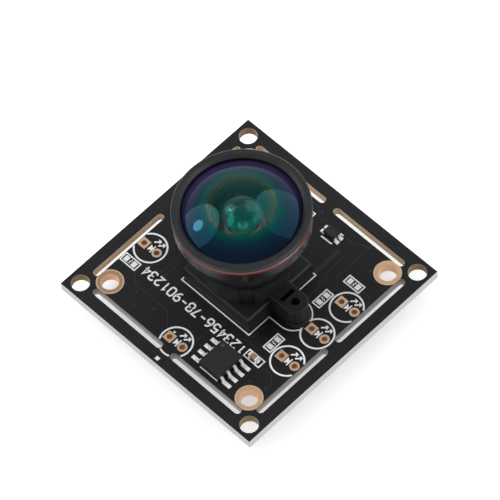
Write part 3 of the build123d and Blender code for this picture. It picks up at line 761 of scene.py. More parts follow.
def dress(finish: Finish, *nodes: str) -> None:
    """Give CAD nodes a finish.

    Args:
        finish: The finish.
        *nodes: The nodes' names.
    """
    for node in nodes:
        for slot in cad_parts[node].material_slots:
            slot.material = finish.material()
        log.info("%s wears %s", node, finish.name)


def box_mm(node: str) -> tuple[Vector, Vector]:
    """A CAD node's lowest and highest corners in millimetres."""
    low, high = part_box(node)
    return Vector(low) / MM, Vector(high) / MM


# Grown pieces

class ShapeTree(Tree):
    """A Geometry Nodes tree with named inputs for its sizes."""

    def __init__(self, name: str, sizes: dict[str, float | int]) -> None:
        """Start the tree with a geometry input and one input for each size.

        Args:
            name: The tree's name.
            sizes: The inputs' names and values; a whole number makes a count.
        """
        super().__init__(bpy.data.node_groups.new(name, "GeometryNodeTree"))
        face = self.tree.interface
        face.new_socket("Geometry", in_out="INPUT", socket_type="NodeSocketGeometry")
        face.new_socket("Geometry", in_out="OUTPUT", socket_type="NodeSocketGeometry")
        self.sizes = sizes
        self.identifiers = {}
        for label, size in sizes.items():
            kind = "NodeSocketInt" if isinstance(size, int) else "NodeSocketFloat"
            self.identifiers[label] = face.new_socket(label, in_out="INPUT", socket_type=kind).identifier
        self.given = self.node("NodeGroupInput")

    def size(self, label: str) -> Value:
        """The value of a named input."""
        return self.given.other(label)

    def vector(self, x: Number, y: Number, z: Number) -> Value:
        """A vector from three numbers."""
        return self.node("ShaderNodeCombineXYZ", {0: x, 1: y, 2: z})

    def swept(self, curve: Value, corners: int, size: str, caps: bool) -> Value:
        """A wire along a curve, whose radius is a named input.

        Args:
            curve: The curve.
            corners: How many corners the wire's section has.
            size: The name of the input for its radius.
            caps: Whether its ends are closed.

        Returns:
            The wire.
        """
        wire = self.node("GeometryNodeCurvePrimitiveCircle", {
            "Resolution": corners, "Radius": self.size(size)})
        return self.node("GeometryNodeCurveToMesh", {
            "Curve": curve, "Profile Curve": wire, "Fill Caps": caps})

    def close(self, shape: Value, finish: Finish) -> None:
        """End the tree: instances made real, then the finish.

        Args:
            shape: What the tree has made.
            finish: Its finish.
        """
        real = self.node("GeometryNodeRealizeInstances", {0: shape})
        dressed = self.node("GeometryNodeSetMaterial", {"Geometry": real, "Material": finish.material()})
        self.node("NodeGroupOutput", {0: dressed})

    def grow(self, name: str, seeds: bpy.types.Mesh) -> bpy.types.Object:
        """Run the tree once and keep what it makes as a plain mesh.

        Args:
            name: The piece's name.
            seeds: The mesh that the tree starts from.

        Returns:
            The finished piece, without a modifier.
        """
        carrier = new_mesh_object(name + "_seeds", seeds)
        modifier = carrier.modifiers.new(name, "NODES")
        modifier.node_group = self.tree
        for label, size in self.sizes.items():
            modifier[self.identifiers[label]] = size
        graph = bpy.context.evaluated_depsgraph_get()
        mesh = bpy.data.meshes.new_from_object(carrier.evaluated_get(graph))
        mesh.name = name
        carrier.modifiers.remove(modifier)
        bpy.data.objects.remove(carrier)
        return new_mesh_object(name, mesh)


@dataclass
class GrownPiece:
    """A piece that Geometry Nodes make from a few named sizes."""

    name: str
    finish: Finish

    def sizes(self) -> dict[str, float | int]:
        """The tree's named inputs, in Blender's metres."""
        raise NotImplementedError

    def shape(self, tree: ShapeTree) -> Value:
        """The nodes that make the piece.

        Args:
            tree: The tree under construction.

        Returns:
            The finished geometry.
        """
        raise NotImplementedError

    def seeds(self) -> bpy.types.Mesh:
        """The mesh that the tree starts from, empty where the tree needs no points."""
        return mesh_mm(self.name, ())

    def build(self, body: str, slot: str) -> None:
        """Make the piece as a plain mesh.

        Args:
            body: The body that it rides on.
            slot: Not used.
        """
        tree = ShapeTree(self.name, self.sizes())
        tree.close(self.shape(tree), self.finish)
        fit_piece(tree.grow(self.name, self.seeds()), body)


class Repeated(Enum):
    """The small shapes that are repeated over the board, with the nodes that make them."""

    BLOCK = "GeometryNodeMeshCube"
    DISC = "GeometryNodeMeshCylinder"
    MOUND = "GeometryNodeMeshIcoSphere"


@dataclass(frozen=True)
class Spot:
    """Where one of a repeated shape goes, and its size, in millimetres."""

    x: float
    y: float
    z: float
    length: float
    width: float


@dataclass
class RepeatedShapes(GrownPiece):
    """One small shape at many spots, of a height that varies by chance."""

    kind: Repeated
    height: float
    spots: list[Spot]
    unevenness: float = 0.0
    seed: int = 7
    disc_corners: int = 20
    mound_detail: int = 3

    def sizes(self) -> dict[str, float | int]:
        """The height, how much it varies, and the seed of its chance."""
        return {"Height": self.height * MM, "Unevenness": self.unevenness, "Seed": self.seed}

    def seeds(self) -> bpy.types.Mesh:
        """Points that carry each spot's size."""
        mesh = mesh_mm(self.name, [(spot.x, spot.y, spot.z) for spot in self.spots])
        size = mesh.attributes.new("size", "FLOAT_VECTOR", "POINT")
        for number, spot in enumerate(self.spots):
            size.data[number].vector = (spot.length * MM, spot.width * MM, 0.0)
        return mesh

    def primitive(self, tree: ShapeTree) -> Value:
        """One shape, a unit across: a mound round its middle, the others on their foot.

        Args:
            tree: The tree under construction.

        Returns:
            The shape's geometry.
        """
        if self.kind is Repeated.MOUND:
            made = tree.node(self.kind.value, {"Radius": 0.5, "Subdivisions": self.mound_detail})
            return tree.node("GeometryNodeSetShadeSmooth", {"Geometry": made})
        disc = {"Vertices": self.disc_corners, "Radius": 0.5, "Depth": 1.0}
        block = {"Size": (1.0, 1.0, 1.0)}
        made = tree.node(self.kind.value, disc if self.kind is Repeated.DISC else block)
        return tree.node("GeometryNodeTransform", {"Geometry": made, "Translation": (0.0, 0.0, 0.5)})

    def shape(self, tree: ShapeTree) -> Value:
        """The shape at every point, at that point's size."""
        size = tree.node("GeometryNodeInputNamedAttribute", {"Name": "size"}, data_type="FLOAT_VECTOR")
        spread = tree.size("Unevenness")
        chance = tree.node("FunctionNodeRandomValue", {"Min": 1 - spread, "Max": 1 + spread,
                                                       "Seed": tree.size("Seed")}, 1, data_type="FLOAT")
        upward = tree.vector(0.0, 0.0, tree.size("Height") * chance)
        scale = tree.node("ShaderNodeVectorMath", {0: size, 1: upward}, operation="ADD")
        return tree.node("GeometryNodeInstanceOnPoints", {
            "Points": tree.given, "Instance": self.primitive(tree), "Scale": scale})


@dataclass
class ThreadHelix(GrownPiece):
    """The ridge of a screw thread round the lens axis."""

    radius: float
    low: float
    high: float
    pitch: float
    ridge: float
    steps: int = 48
    wire_corners: int = 4

    def sizes(self) -> dict[str, float | int]:
        """The helix's radius, length and turns, and the ridge's size."""
        length = self.high - self.low
        return {"Radius": self.radius * MM, "Length": length * MM, "Turns": length / self.pitch,
                "Ridge": self.ridge * MM}

    def shape(self, tree: ShapeTree) -> Value:
        """A square wire along the helix."""
        helix = tree.node("GeometryNodeCurveSpiral", {
            "Resolution": self.steps, "Rotations": tree.size("Turns"), "Height": tree.size("Length"),
            "Start Radius": tree.size("Radius"), "End Radius": tree.size("Radius")})
        helix = tree.node("GeometryNodeTransform", {
            "Geometry": helix, "Translation": (0.0, 0.0, self.low * MM)})
        return tree.swept(helix, self.wire_corners, "Ridge", caps=True)


@dataclass
class RingStack(GrownPiece):
    """Fine rings that step down a cone round the lens axis."""

    count: int
    low: Point
    high: Point
    wire: float
    steps: int = 96
    wire_corners: int = 6

    def sizes(self) -> dict[str, float | int]:
        """The rings' count, the radius and height of both ends, and the wire's radius."""
        return {"Count": self.count, "Low Radius": self.low[0] * MM, "High Radius": self.high[0] * MM,
                "Low": self.low[1] * MM, "High": self.high[1] * MM, "Wire": self.wire * MM}

    def shape(self, tree: ShapeTree) -> Value:
        """A round wire along a circle at every step of the cone."""
        row = tree.node("GeometryNodeMeshLine", {
            "Count": tree.size("Count"), "Start Location": tree.vector(0.0, 0.0, tree.size("Low")),
            "Offset": tree.vector(0.0, 0.0, tree.size("High"))}, mode="END_POINTS")
        step = tree.node("GeometryNodeInputIndex") / (tree.size("Count") - 1)
        radius = tree.size("Low Radius") + step * (tree.size("High Radius") - tree.size("Low Radius"))
        circle = tree.node("GeometryNodeCurvePrimitiveCircle", {"Resolution": self.steps, "Radius": 1.0})
        rings = tree.node("GeometryNodeInstanceOnPoints", {
            "Points": row, "Instance": circle, "Scale": tree.vector(radius, radius, 1.0)})
        rings = tree.node("GeometryNodeRealizeInstances", {0: rings})
        return tree.swept(rings, self.wire_corners, "Wire", caps=False)


# Board

@dataclass(frozen=True)
class BoardLayout:
    """The board's places, in millimetres, as the object has them."""

    top: float = 1.6
    slot_line: float = 16.5
    slot_width: float = 1.15
    slot_start: float = 1.5
    slot_end: float = 14.2
    light_places: tuple[Point, ...] = ((13.7, 0.0), (13.7, 5.95), (13.7, -6.07), (0.0, -14.6), (-13.77, -6.1))
    resistor_places: tuple[tuple[float, float, float], ...] = (
        (-14.28, -9.65, 0.0), (10.27, -5.26, 90.0), (10.23, 4.68, 90.0), (11.81, 9.41, 0.0))

    def is_solid(self, x: float, y: float, margin: float) -> bool:
        """Whether the board carries ink at a place.

        Args:
            x: The place across.
            y: The place along.
            margin: The clear distance that the ink keeps from a slot.

        Returns:
            True where no slot is within the margin.
        """
        for across, along in ((abs(x), abs(y)), (abs(y), abs(x))):
            run = min(max(across, self.slot_start), self.slot_end)
            if math.hypot(across - run, along - self.slot_line) < self.slot_width / 2 + margin:
                return False
        return True


@dataclass
class PrintedLayer:
    """Ink on one face of the board: drawn lines and filled areas gathered into one mesh."""

    name: str
    face: float
    up: int
    ink: float = 0.018
    verts: list[tuple[float, float, float]] = field(default_factory=list)
    faces: list[tuple[int, ...]] = field(default_factory=list)

    def slab(self, outline: Sequence[Point]) -> None:
        """Add a filled convex area.

        Args:
            outline: Its corners in order.
        """
        start, count = len(self.verts), len(outline)
        for height in (self.face, self.face + self.up * self.ink):
            self.verts += [(x, y, height) for x, y in outline]
        self.faces.append(tuple(range(start, start + count)))
        self.faces.append(tuple(range(start + 2 * count - 1, start + count - 1, -1)))
        for n in range(count):
            after = (n + 1) % count
            self.faces.append((start + n, start + count + n, start + count + after, start + after))

    def line(self, points: Sequence[Point], width: float, closed: bool = False) -> None:
        """Add a drawn line with mitred corners.

        Args:
            points: Its middle line.
            width: Its width.
            closed: Whether its end joins its start.
        """
        count, start = len(points), len(self.verts)
        for n, point in enumerate(points):
            before = points[n - 1] if n or closed else None
            after = points[(n + 1) % count] if n < count - 1 or closed else None
            left, right = self.mitre(point, before, after, width / 2)
            for height in (self.face, self.face + self.up * self.ink):
                self.verts += [(*left, height), (*right, height)]
        for n in range(count if closed else count - 1):
            a, b = start + 4 * n, start + 4 * ((n + 1) % count)
            for first, second in ((0, 1), (1, 3), (3, 2), (2, 0)):
                self.faces.append((a + first, a + second, b + second, b + first))
        if not closed:
            end = start + 4 * (count - 1)
            self.faces += [(start, start + 2, start + 3, start + 1), (end, end + 1, end + 3, end + 2)]

    @staticmethod
    def mitre(point: Point, before: Point | None, after: Point | None, half: float) -> tuple[Point, Point]:
        """The left and right edges of a line at one of its points.

        Args:
            point: The point.
            before: The point before it, if there is one.
            after: The point after it, if there is one.
            half: Half the line's width.

        Returns:
            The left and the right edge point.
        """
        here = Vector(point)
        ways = [(here - Vector(before)).normalized()] if before else []
        ways += [(Vector(after) - here).normalized()] if after else []
        way = sum(ways, Vector((0.0, 0.0))).normalized()
        side = Vector((-way.y, way.x)) * (half / max(way.dot(ways[0]), 0.5))
        return tuple(here + side), tuple(here - side)

    @staticmethod
    def turned(centre: Point, offset: Point, turn: float) -> Point:
        """A point beside a centre.

        Args:
            centre: The centre.
            offset: How far from it the point is, before the turn.
            turn: The turn about the centre in degrees.

        Returns:
            The point.
        """
        across, along = math.cos(math.radians(turn)), math.sin(math.radians(turn))
        return (centre[0] + offset[0] * across - offset[1] * along,
                centre[1] + offset[0] * along + offset[1] * across)

    def bend(self, centre: Point, radius: float, start: float, step: float, count: int) -> list[Point]:
        """Points round a centre, from a start at an even step in degrees."""
        return [self.turned(centre, (radius, 0.0), start + step * n) for n in range(count)]

    def box(self, centre: Point, size: Point, width: float, turn: float = 0.0) -> None:
        """Add a drawn rectangle.

        Args:
            centre: Its centre.
            size: Its length and width.
            width: The line's width.
            turn: Its turn about its centre in degrees.
        """
        self.line([self.turned(centre, (sx * size[0] / 2, sy * size[1] / 2), turn)
                   for sx, sy in ((-1, -1), (1, -1), (1, 1), (-1, 1))], width, closed=True)

    def ring(self, centre: Point, radius: float, width: float, layout: BoardLayout) -> None:
        """Add a drawn circle, left out where the board has a slot.

        Args:
            centre: Its centre.
            radius: Its radius.
            width: The line's width.
            layout: The board whose slots it keeps clear of.
        """
        places = self.bend(centre, radius, 0, 3, 120)
        gaps = [n for n, place in enumerate(places) if not layout.is_solid(*place, width / 4)]
        if not gaps:
            self.line(places, width, closed=True)
            return
        run: list[Point] = []
        for place in [*places[gaps[0]:], *places[:gaps[0] + 1]]:
            if layout.is_solid(*place, width / 4):
                run.append(place)
                continue
            if len(run) > 1:
                self.line(run, width)
            run = []

    def dot(self, centre: Point, radius: float) -> None:
        """Add a filled dot."""
        self.slab(self.bend(centre, radius, 0, 15, 24))

    def build(self, finish: Finish, slot: str) -> None:
        """Make the layer's piece, which rides on the board.

        Args:
            finish: The ink.
            slot: Not used.
        """
        mesh = mesh_mm(self.name, self.verts, self.faces)
        shell = bmesh.new()
        shell.from_mesh(mesh)
        bmesh.ops.recalc_face_normals(shell, faces=shell.faces)
        shell.to_mesh(mesh)
        shell.free()
        mesh.materials.append(finish.material())
        fit_piece(new_mesh_object(self.name, mesh), "board")


DIGIT_STROKES: dict[str, tuple[tuple[Point, ...], ...]] = {
    "0": (((0.5, 0.0), (0.2, 0.0), (0.0, 0.2), (0.0, 0.8), (0.2, 1.0), (0.8, 1.0), (1.0, 0.8), (1.0, 0.2),
           (0.8, 0.0), (0.5, 0.0)),),
    "1": (((0.15, 0.78), (0.5, 1.0), (0.5, 0.0)),),
    "2": (((0.0, 0.8), (0.22, 1.0), (0.78, 1.0), (1.0, 0.8), (1.0, 0.62), (0.0, 0.0), (1.0, 0.0)),),
    "3": (((0.0, 0.84), (0.22, 1.0), (0.78, 1.0), (1.0, 0.84), (1.0, 0.66), (0.7, 0.52), (1.0, 0.38),
           (1.0, 0.18), (0.78, 0.0), (0.22, 0.0), (0.0, 0.16)), ((0.35, 0.52), (0.7, 0.52))),
    "4": (((0.72, 0.0), (0.72, 1.0), (0.0, 0.32), (1.0, 0.32)),),
    "5": (((0.95, 1.0), (0.08, 1.0), (0.02, 0.55), (0.72, 0.6), (1.0, 0.42), (1.0, 0.18), (0.78, 0.0),
           (0.22, 0.0), (0.0, 0.16)),),
    "6": (((0.85, 1.0), (0.4, 0.92), (0.0, 0.5), (0.0, 0.2), (0.22, 0.0), (0.78, 0.0), (1.0, 0.2), (1.0, 0.4),
           (0.78, 0.56), (0.05, 0.5)),),
    "7": (((0.0, 1.0), (1.0, 1.0), (0.38, 0.0)),),
    "8": (((0.5, 0.53), (0.2, 0.53), (0.02, 0.7), (0.02, 0.86), (0.22, 1.0), (0.78, 1.0), (0.98, 0.86),
           (0.98, 0.7), (0.8, 0.53), (0.2, 0.53), (0.0, 0.38), (0.0, 0.16), (0.22, 0.0), (0.78, 0.0),
           (1.0, 0.16), (1.0, 0.38), (0.8, 0.53)),),
    "9": (((0.15, 0.0), (0.6, 0.08), (1.0, 0.5), (1.0, 0.8), (0.78, 1.0), (0.22, 1.0), (0.0, 0.8), (0.0, 0.6),
           (0.22, 0.44), (0.95, 0.5)),),
    "-": (((0.05, 0.5), (0.95, 0.5)),),
}


@dataclass
class BoardPrint:
    """The white print: light and resistor places, outlines round the parts, and a plain number."""

    layout: BoardLayout = field(default_factory=BoardLayout)
    light_radius: float = 2.43
    light_line: float = 0.27
    arrow_line: float = 0.24
    box_line: float = 0.2
    fine_line: float = 0.17
    sign_line: float = 0.13
    short_line: float = 0.22
    group_dot: float = 0.2
    back_dot: float = 0.28
    holder_half: float = 6.76
    upper_line: float = 0.6
    ear_x: float = 9.05
    ear_radius: float = 2.65
    ear_free: float = 24.0
    ear_step: float = 4.0
    bend_radius: float = 0.44
    resistor_box: Point = (2.9, 1.35)
    capacitor_box: Point = (2.95, 1.3)
    capacitor_place: Point = (10.0, -8.97)
    number: str = "123456-78-901234"
    number_start: Point = (8.05, -8.45)
    number_pitch: float = 1.27
    digit_size: Point = (0.86, 1.42)

    def light_place(self, ink: PrintedLayer, centre: Point) -> None:
        """A ring light's circle, diode sign and two arrows.

        Args:
            ink: The layer.
            centre: The light's centre.
        """
        ink.ring(centre, self.light_radius, self.light_line, self.layout)
        wedge = ((-0.27, -0.52), (0.27, -0.12), (0.27, 0.22), (-0.27, 0.58))
        bar = ((0.27, -0.6), (0.46, -0.6), (0.46, 0.72), (0.27, 0.72))
        for outline in (wedge, bar):
            ink.slab([(centre[0] + x, centre[1] + y) for x, y in outline])
        for tail in ((-0.32, 1.06), (0.55, 1.0)):
            x, y = centre[0] + tail[0], centre[1] + tail[1]
            ink.line([(x, y), (x + 0.5, y + 0.5)], self.arrow_line)
            ink.slab([(x + 0.2, y + 0.82), (x + 0.81, y + 0.2), (x + 0.82, y + 0.82)])

    def resistor_place(self, ink: PrintedLayer, place: tuple[float, float, float]) -> None:
        """An empty resistor place's box and the small zigzag between its pads.

        Args:
            ink: The layer.
            place: Its centre and its turn in degrees.
        """
        centre, turn = place[:2], place[2]
        ink.box(centre, self.resistor_box, self.box_line, turn)
        zigzag = ((-0.16, -0.42), (0.06, -0.2), (-0.1, 0.02), (0.12, 0.2), (-0.02, 0.42))
        ink.line([ink.turned(centre, corner, turn) for corner in zigzag], self.sign_line)

    def holder_outline(self, ink: PrintedLayer) -> None:
        """The outline of the lens holder and its ears.

        Args:
            ink: The layer.
        """
        half, ear_r, step = self.holder_half, self.ear_radius, self.ear_step
        ear = ink.bend((self.ear_x, 0.0), ear_r, -90.0, step, round((90 - self.ear_free) / step) + 1)
        for side in (-1, 1):
            for up, start in ((1, 0.0), (-1, half - self.upper_line)):
                points = [(start, -half), (half, -half), (half, -ear_r), *ear]
                ink.line([(side * x, up * y) for x, y in points], self.box_line)

    def part_group(self, ink: PrintedLayer) -> None:
        """The boxes round the group of small parts beside the holder.

        Args:
            ink: The layer.
        """
        fine, broad, bend = self.fine_line, self.box_line, self.bend_radius
        left = ink.bend((-3.3, 11.2), bend, 165, -15, 5)
        right = ink.bend((-3.08, 11.2), bend, 75, -15, 5)
        for width, points in (
                (fine, [(-10.55, 10.2), (-10.55, 11.78), (-8.2, 11.78), (-8.2, 11.3)]),
                (broad, [(-8.03, 9.6), (-8.03, 12.02), (-5.27, 12.02), (-5.27, 9.5)]),
                (broad, [(-3.74, 9.8), (-3.74, 11.2), *left, (-3.3, 11.64), (-3.08, 11.64), *right,
                         (-2.64, 11.2), (-2.64, 9.75)]),
                (fine, [(-2.64, 12.04), (-2.64, 14.08)]),
                (fine, [(-1.6, 12.04), (-1.6, 14.08)]),
                (fine, [(-1.15, 11.77), (0.15, 11.77), (0.15, 10.32)]),
                (self.short_line, [(0.19, 10.06), (0.19, 8.87)]),
                (self.light_line, [(2.7, 12.0), (4.78, 12.06)])):
            ink.line(points, width)
        ink.box((-5.43, 12.88), (2.12, 1.06), fine)
        ink.box((-2.12, 13.06), (3.22, 2.05), broad)
        ink.dot((-4.34, 12.0), self.group_dot)

    def chip_outlines(self, ink: PrintedLayer) -> None:
        """The outline's corner beside the memory chip, the capacitor's box and two small marks.

        Args:
            ink: The layer.
        """
        low, high = box_mm("flash_chip")
        right, edge = high.x - 0.35, low.y + 0.05
        ink.line([(low.x + 0.2, edge), (right, edge), (right, edge + 0.35)], self.box_line)
        ink.box(self.capacitor_place, self.capacitor_box, self.box_line)
        ink.slab([(-0.34, -18.56), (0.26, -18.56), (0.3, -17.98), (-0.34, -18.0)])
        ink.slab([(-1.5, -13.42), (-1.38, -13.85), (-1.05, -13.5)])

    def plain_number(self, ink: PrintedLayer) -> None:
        """A generic number in place of print that isn't copied, read from the far side like the object's.

        Args:
            ink: The layer.
        """
        start_x, start_y = self.number_start
        width, height = self.digit_size
        for place, digit in enumerate(self.number):
            right = start_x - place * self.number_pitch
            for stroke in DIGIT_STROKES[digit]:
                ink.line([(right - x * width, start_y - y * height) for x, y in stroke], self.light_line)

    def back(self) -> None:
        """The print of the underside, plain outlines round its parts."""
        ink = PrintedLayer("back_print", 0.0, -1)
        for node, gap in (("processor_leads", 0.35), ("back_crystal_can", 0.4), ("inductor", 0.4),
                          ("connector_housing", 0.35)):
            low, high = box_mm(node)
            ink.box(((low.x + high.x) / 2, (low.y + high.y) / 2),
                    (high.x - low.x + 2 * gap, high.y - low.y + 2 * gap), self.fine_line)
        low, high = box_mm("processor_leads")
        ink.dot((low.x - 0.1, high.y + 0.85), self.back_dot)
        ink.build(Finishes.INK, "connector_nylon")

    def build(self) -> None:
        """Make the print of both faces."""
        ink = PrintedLayer("top_print", self.layout.top, 1)
        for centre in self.layout.light_places:
            self.light_place(ink, centre)
        for place in self.layout.resistor_places:
            self.resistor_place(ink, place)
        self.holder_outline(ink)
        self.part_group(ink)
        self.chip_outlines(ink)
        self.plain_number(ink)
        ink.build(Finishes.INK, "connector_nylon")
        self.back()


TOP_TRACKS: tuple[tuple[Point, ...], ...] = (
    ((10.3, 3.4), (10.3, 1.6), (11.2, 0.7), (11.6, 0.7)),
    ((10.25, 6.4), (10.25, 7.6), (9.2, 8.65), (9.2, 14.6)),
    ((13.6, 9.4), (14.9, 9.4), (15.5, 8.8), (15.5, 2.8)),
    ((10.3, -6.8), (9.6, -7.5), (7.2, -7.5), (5.6, -9.1), (5.6, -9.6)),
    ((10.25, -3.5), (8.1, -3.5), (7.4, -4.2), (7.4, -6.2)),
    ((-12.9, -10.1), (-11.2, -11.8), (-4.6, -11.8), (-2.6, -13.8)),
    ((-12.9, -9.5), (-11.6, -8.2), (-11.6, -6.5), (-12.0, -5.7)),
    ((-15.1, 1.0), (-15.1, 8.1), (-11.5, 11.7), (-11.5, 15.2)),
    ((-14.3, 1.0), (-14.3, 7.7), (-10.8, 11.2), (-10.8, 15.2)),
    ((-13.5, 1.0), (-13.5, 7.3), (-11.6, 9.2)),
    ((-9.8, -7.6), (-9.8, 4.0), (-8.6, 5.2), (-8.6, 8.8)),
    ((-9.0, -7.6), (-9.0, 3.6), (-7.8, 4.8), (-7.8, 8.6)),
    ((2.0, -9.0), (2.0, -12.0), (1.4, -12.6)),
    ((12.4, -9.2), (13.7, -9.2), (14.7, -10.2), (14.7, -11.2)),
    ((-4.5, 14.2), (-4.5, 15.3), (-1.0, 15.3), (0.2, 14.1), (1.5, 14.1)),
    ((5.6, 14.2), (7.4, 14.2), (8.3, 15.1), (9.2, 15.1)),
    ((7.6, 11.9), (7.6, 8.0), (8.5, 7.1), (8.5, 3.6)),
)
VIA_PLACES: tuple[Point, ...] = (
    (7.4, -6.4), (-11.5, 15.4), (-10.8, 15.4), (9.2, 15.3), (1.4, -12.8), (14.7, -11.4), (-15.1, 0.8),
    (-14.3, 0.8), (-13.5, 0.8), (-9.8, -7.8), (-9.0, -7.8), (-8.6, 9.0), (-7.8, 8.8), (8.5, 3.4),
    (-4.5, 14.0), (5.6, -9.8), (3.0, -7.9), (-2.6, -7.9), (0.0, 15.0), (12.0, 12.6), (-10.0, -12.6),
    (-6.2, -12.9), (-8.6, -14.2), (12.2, -12.0), (-12.4, 3.4), (-11.6, -2.2), (7.9, 6.3), (2.2, 9.6),
)


@dataclass
class BoardCopper:
    """Tracks and vias under the mask, and the tinned lands and solder of the fitted parts."""

    layout: BoardLayout = field(default_factory=BoardLayout)
    track_lift: float = 0.012
    track_width: float = 0.16
    supply_width: float = 0.7
    thin_width: float = 0.14
    via_lift: float = 0.014
    via_width: float = 0.5
    via_spread: float = 0.1
    land_lift: float = 0.03
    solder_height: float = 0.34
    back_solder_height: float = 0.24
    solder_spread: float = 0.2
    overhang: Point = (0.36, 0.3)
    flash_pitch: float = 1.27
    regulator_pitch: float = 0.8
    processor_pitch: float = 0.5
    processor_leads: int = 12
    flash_land: Point = (1.5, 0.62)
    regulator_land: Point = (0.78, 0.6)
    spare_land: Point = (0.6, 0.25)
    spare_place: Point = (4.75, 14.15)
    flash_fillet: Point = (1.2, 0.56)
    regulator_fillet: Point = (0.62, 0.5)
    crystal_fillet: Point = (0.8, 0.55)
    processor_fillet: Point = (0.62, 0.3)
    tab_fillet: Point = (0.9, 2.7)
    crystal_solder: tuple[Point, ...] = ((-6.6, 9.75), (-5.95, 9.62), (-7.0, 10.1))

    def top_tracks(self) -> None:
        """Raised tracks on the front, drawn with corners at 45 degrees."""
        layer = PrintedLayer("top_tracks", self.layout.top, 1, self.track_lift)
        layer.line([(6.35, 12.0), (6.35, 6.9)], self.supply_width)
        layer.line([(1.6, 7.86), (4.9, 7.7), (4.97, 4.2)], self.thin_width)
        for points in TOP_TRACKS:
            layer.line(points, self.track_width)
        layer.build(Finishes.TRACK, "board_resist")

    def back_tracks(self) -> None:
        """Plain rows of tracks that leave the processor on all four sides."""
        layer = PrintedLayer("back_tracks", 0.0, -1, self.track_lift)
        rows = []
        for n in range(9):
            x = -5.2 + 1.05 * n
            rows.append([(x, 4.2), (x, 6.4 + 0.25 * n), (x + 0.8, 7.2 + 0.25 * n), (x + 0.8, 9.6)])
            rows.append([(x, -6.2), (x, -8.0 - 0.3 * n), (x - 0.9, -8.9 - 0.3 * n), (x - 0.9, -14.0)])
        for n in range(5):
            y = -3.4 + 1.1 * n
            rows.append([(-6.2, y), (-9.0 - 0.4 * n, y), (-9.8 - 0.4 * n, y + 0.8), (-14.6, y + 0.8)])
            rows.append([(4.2, y), (6.6 + 0.3 * n, y), (7.2 + 0.3 * n, y + 0.6), (14.6, y + 0.6)])
        for points in rows:
            layer.line(points, self.track_width)
        layer.build(Finishes.TRACK, "board_resist")

    def vias(self) -> None:
        """Tented vias: a low masked disc over each, on both faces."""
        lift, width = self.via_lift, self.via_width
        for name, height in (("top_vias", self.layout.top), ("back_vias", -lift)):
            spots = [Spot(x, y, height, width, width) for x, y in VIA_PLACES]
            lids = RepeatedShapes(name, Finishes.TRACK, Repeated.DISC, lift, spots, self.via_spread)
            lids.build("board", "board_resist")

    def lead_spots(self, inset: float, flash: Point, regulator: Point) -> list[Spot]:
        """Spots at the leads of the flash chip, whose tips they lie on, and of the regulator.

        Args:
            inset: How far in from the regulator's tips a spot's middle is.
            flash: A spot's length and width at the flash chip.
            regulator: A spot's length and width at the regulator.

        Returns:
            One spot for each lead.
        """
        spots = []
        for node, pitch, count, back, span in (
                ("flash_chip_leads", self.flash_pitch, 4, 0.0, flash),
                ("regulator_leads", self.regulator_pitch, 2, inset, regulator)):
            low, high = box_mm(node)
            middle = (low.y + high.y) / 2
            spots += [Spot(x, middle + (n - (count - 1) / 2) * pitch, self.layout.top, *span)
                      for x in (low.x + back, high.x - back) for n in range(count)]
        return spots

    def lands(self) -> None:
        """Tinned lands under the chips' leads, and one beside the regulator."""
        spots = self.lead_spots(0.15, self.flash_land, self.regulator_land)
        spots.append(Spot(*self.spare_place, self.layout.top, *self.spare_land))
        lands = RepeatedShapes("chip_lands", Finishes.TINNED, Repeated.BLOCK, self.land_lift, spots)
        lands.build("board", "tinned")

    def top_solder(self) -> None:
        """Fillets at the leads' toes and at both ends of the small parts in front."""
        spots = self.lead_spots(0.1, self.flash_fillet, self.regulator_fillet)
        spots += self.end_spots("chip_capacitor_ends", self.layout.top)
        spots += [Spot(x, y, self.layout.top, *self.crystal_fillet) for x, y in self.crystal_solder]
        self.fillets("top_solder", self.solder_height, spots)

    def back_solder(self) -> None:
        """Fillets round the processor, at the small parts' ends and at the connector's tabs."""
        spots, (length, width) = [], self.processor_fillet
        low, high = box_mm("processor_leads")
        middle = (low + high) / 2
        for n in range(self.processor_leads):
            step = (n - (self.processor_leads - 1) / 2) * self.processor_pitch
            spots += [Spot(x, middle.y + step, 0.0, length, width) for x in (low.x + 0.1, high.x - 0.1)]
            spots += [Spot(middle.x + step, y, 0.0, width, length) for y in (low.y + 0.1, high.y - 0.1)]
        for node in ("back_capacitor_ends", "back_resistor_ends"):
            spots += self.end_spots(node, 0.0)
        low, high = box_mm("connector_tabs")
        spots += [Spot(x, (low.y + high.y) / 2, 0.0, *self.tab_fillet) for x in (low.x, high.x)]
        self.fillets("back_solder", self.back_solder_height, spots)

    def fillets(self, name: str, height: float, spots: list[Spot]) -> None:
        """Make one face's solder, as mounds of uneven height.

        Args:
            name: The piece's name.
            height: The mounds' middle height, twice what stands over the board.
            spots: Their places and sizes.
        """
        solder = RepeatedShapes(name, Finishes.SOLDER, Repeated.MOUND, height, spots, self.solder_spread)
        solder.build("board", "tinned")

    def end_spots(self, node: str, face: float) -> list[Spot]:
        """A fillet round each metal end of a node's small parts.

        Args:
            node: The node of the ends.
            face: The height of the board's face.

        Returns:
            One spot for each end.
        """
        shell = bmesh.new()
        shell.from_mesh(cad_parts[node].data)
        bmesh.ops.remove_doubles(shell, verts=shell.verts, dist=1e-6)
        spots, left = [], set(shell.verts)
        for seed in shell.verts:
            if seed not in left:
                continue
            left.discard(seed)
            island, queue = [], [seed]
            while queue:
                vert = queue.pop()
                island.append(vert)
                for other in (edge.other_vert(vert) for edge in vert.link_edges):
                    if other in left:
                        left.discard(other)
                        queue.append(other)
            xs, ys = [vert.co.x / MM for vert in island], [vert.co.y / MM for vert in island]
            width, depth = max(xs) - min(xs) + self.overhang[0], max(ys) - min(ys) + self.overhang[1]
            spots.append(Spot(sum(xs) / len(xs), sum(ys) / len(ys), face, width, depth))
        shell.free()
        return spots

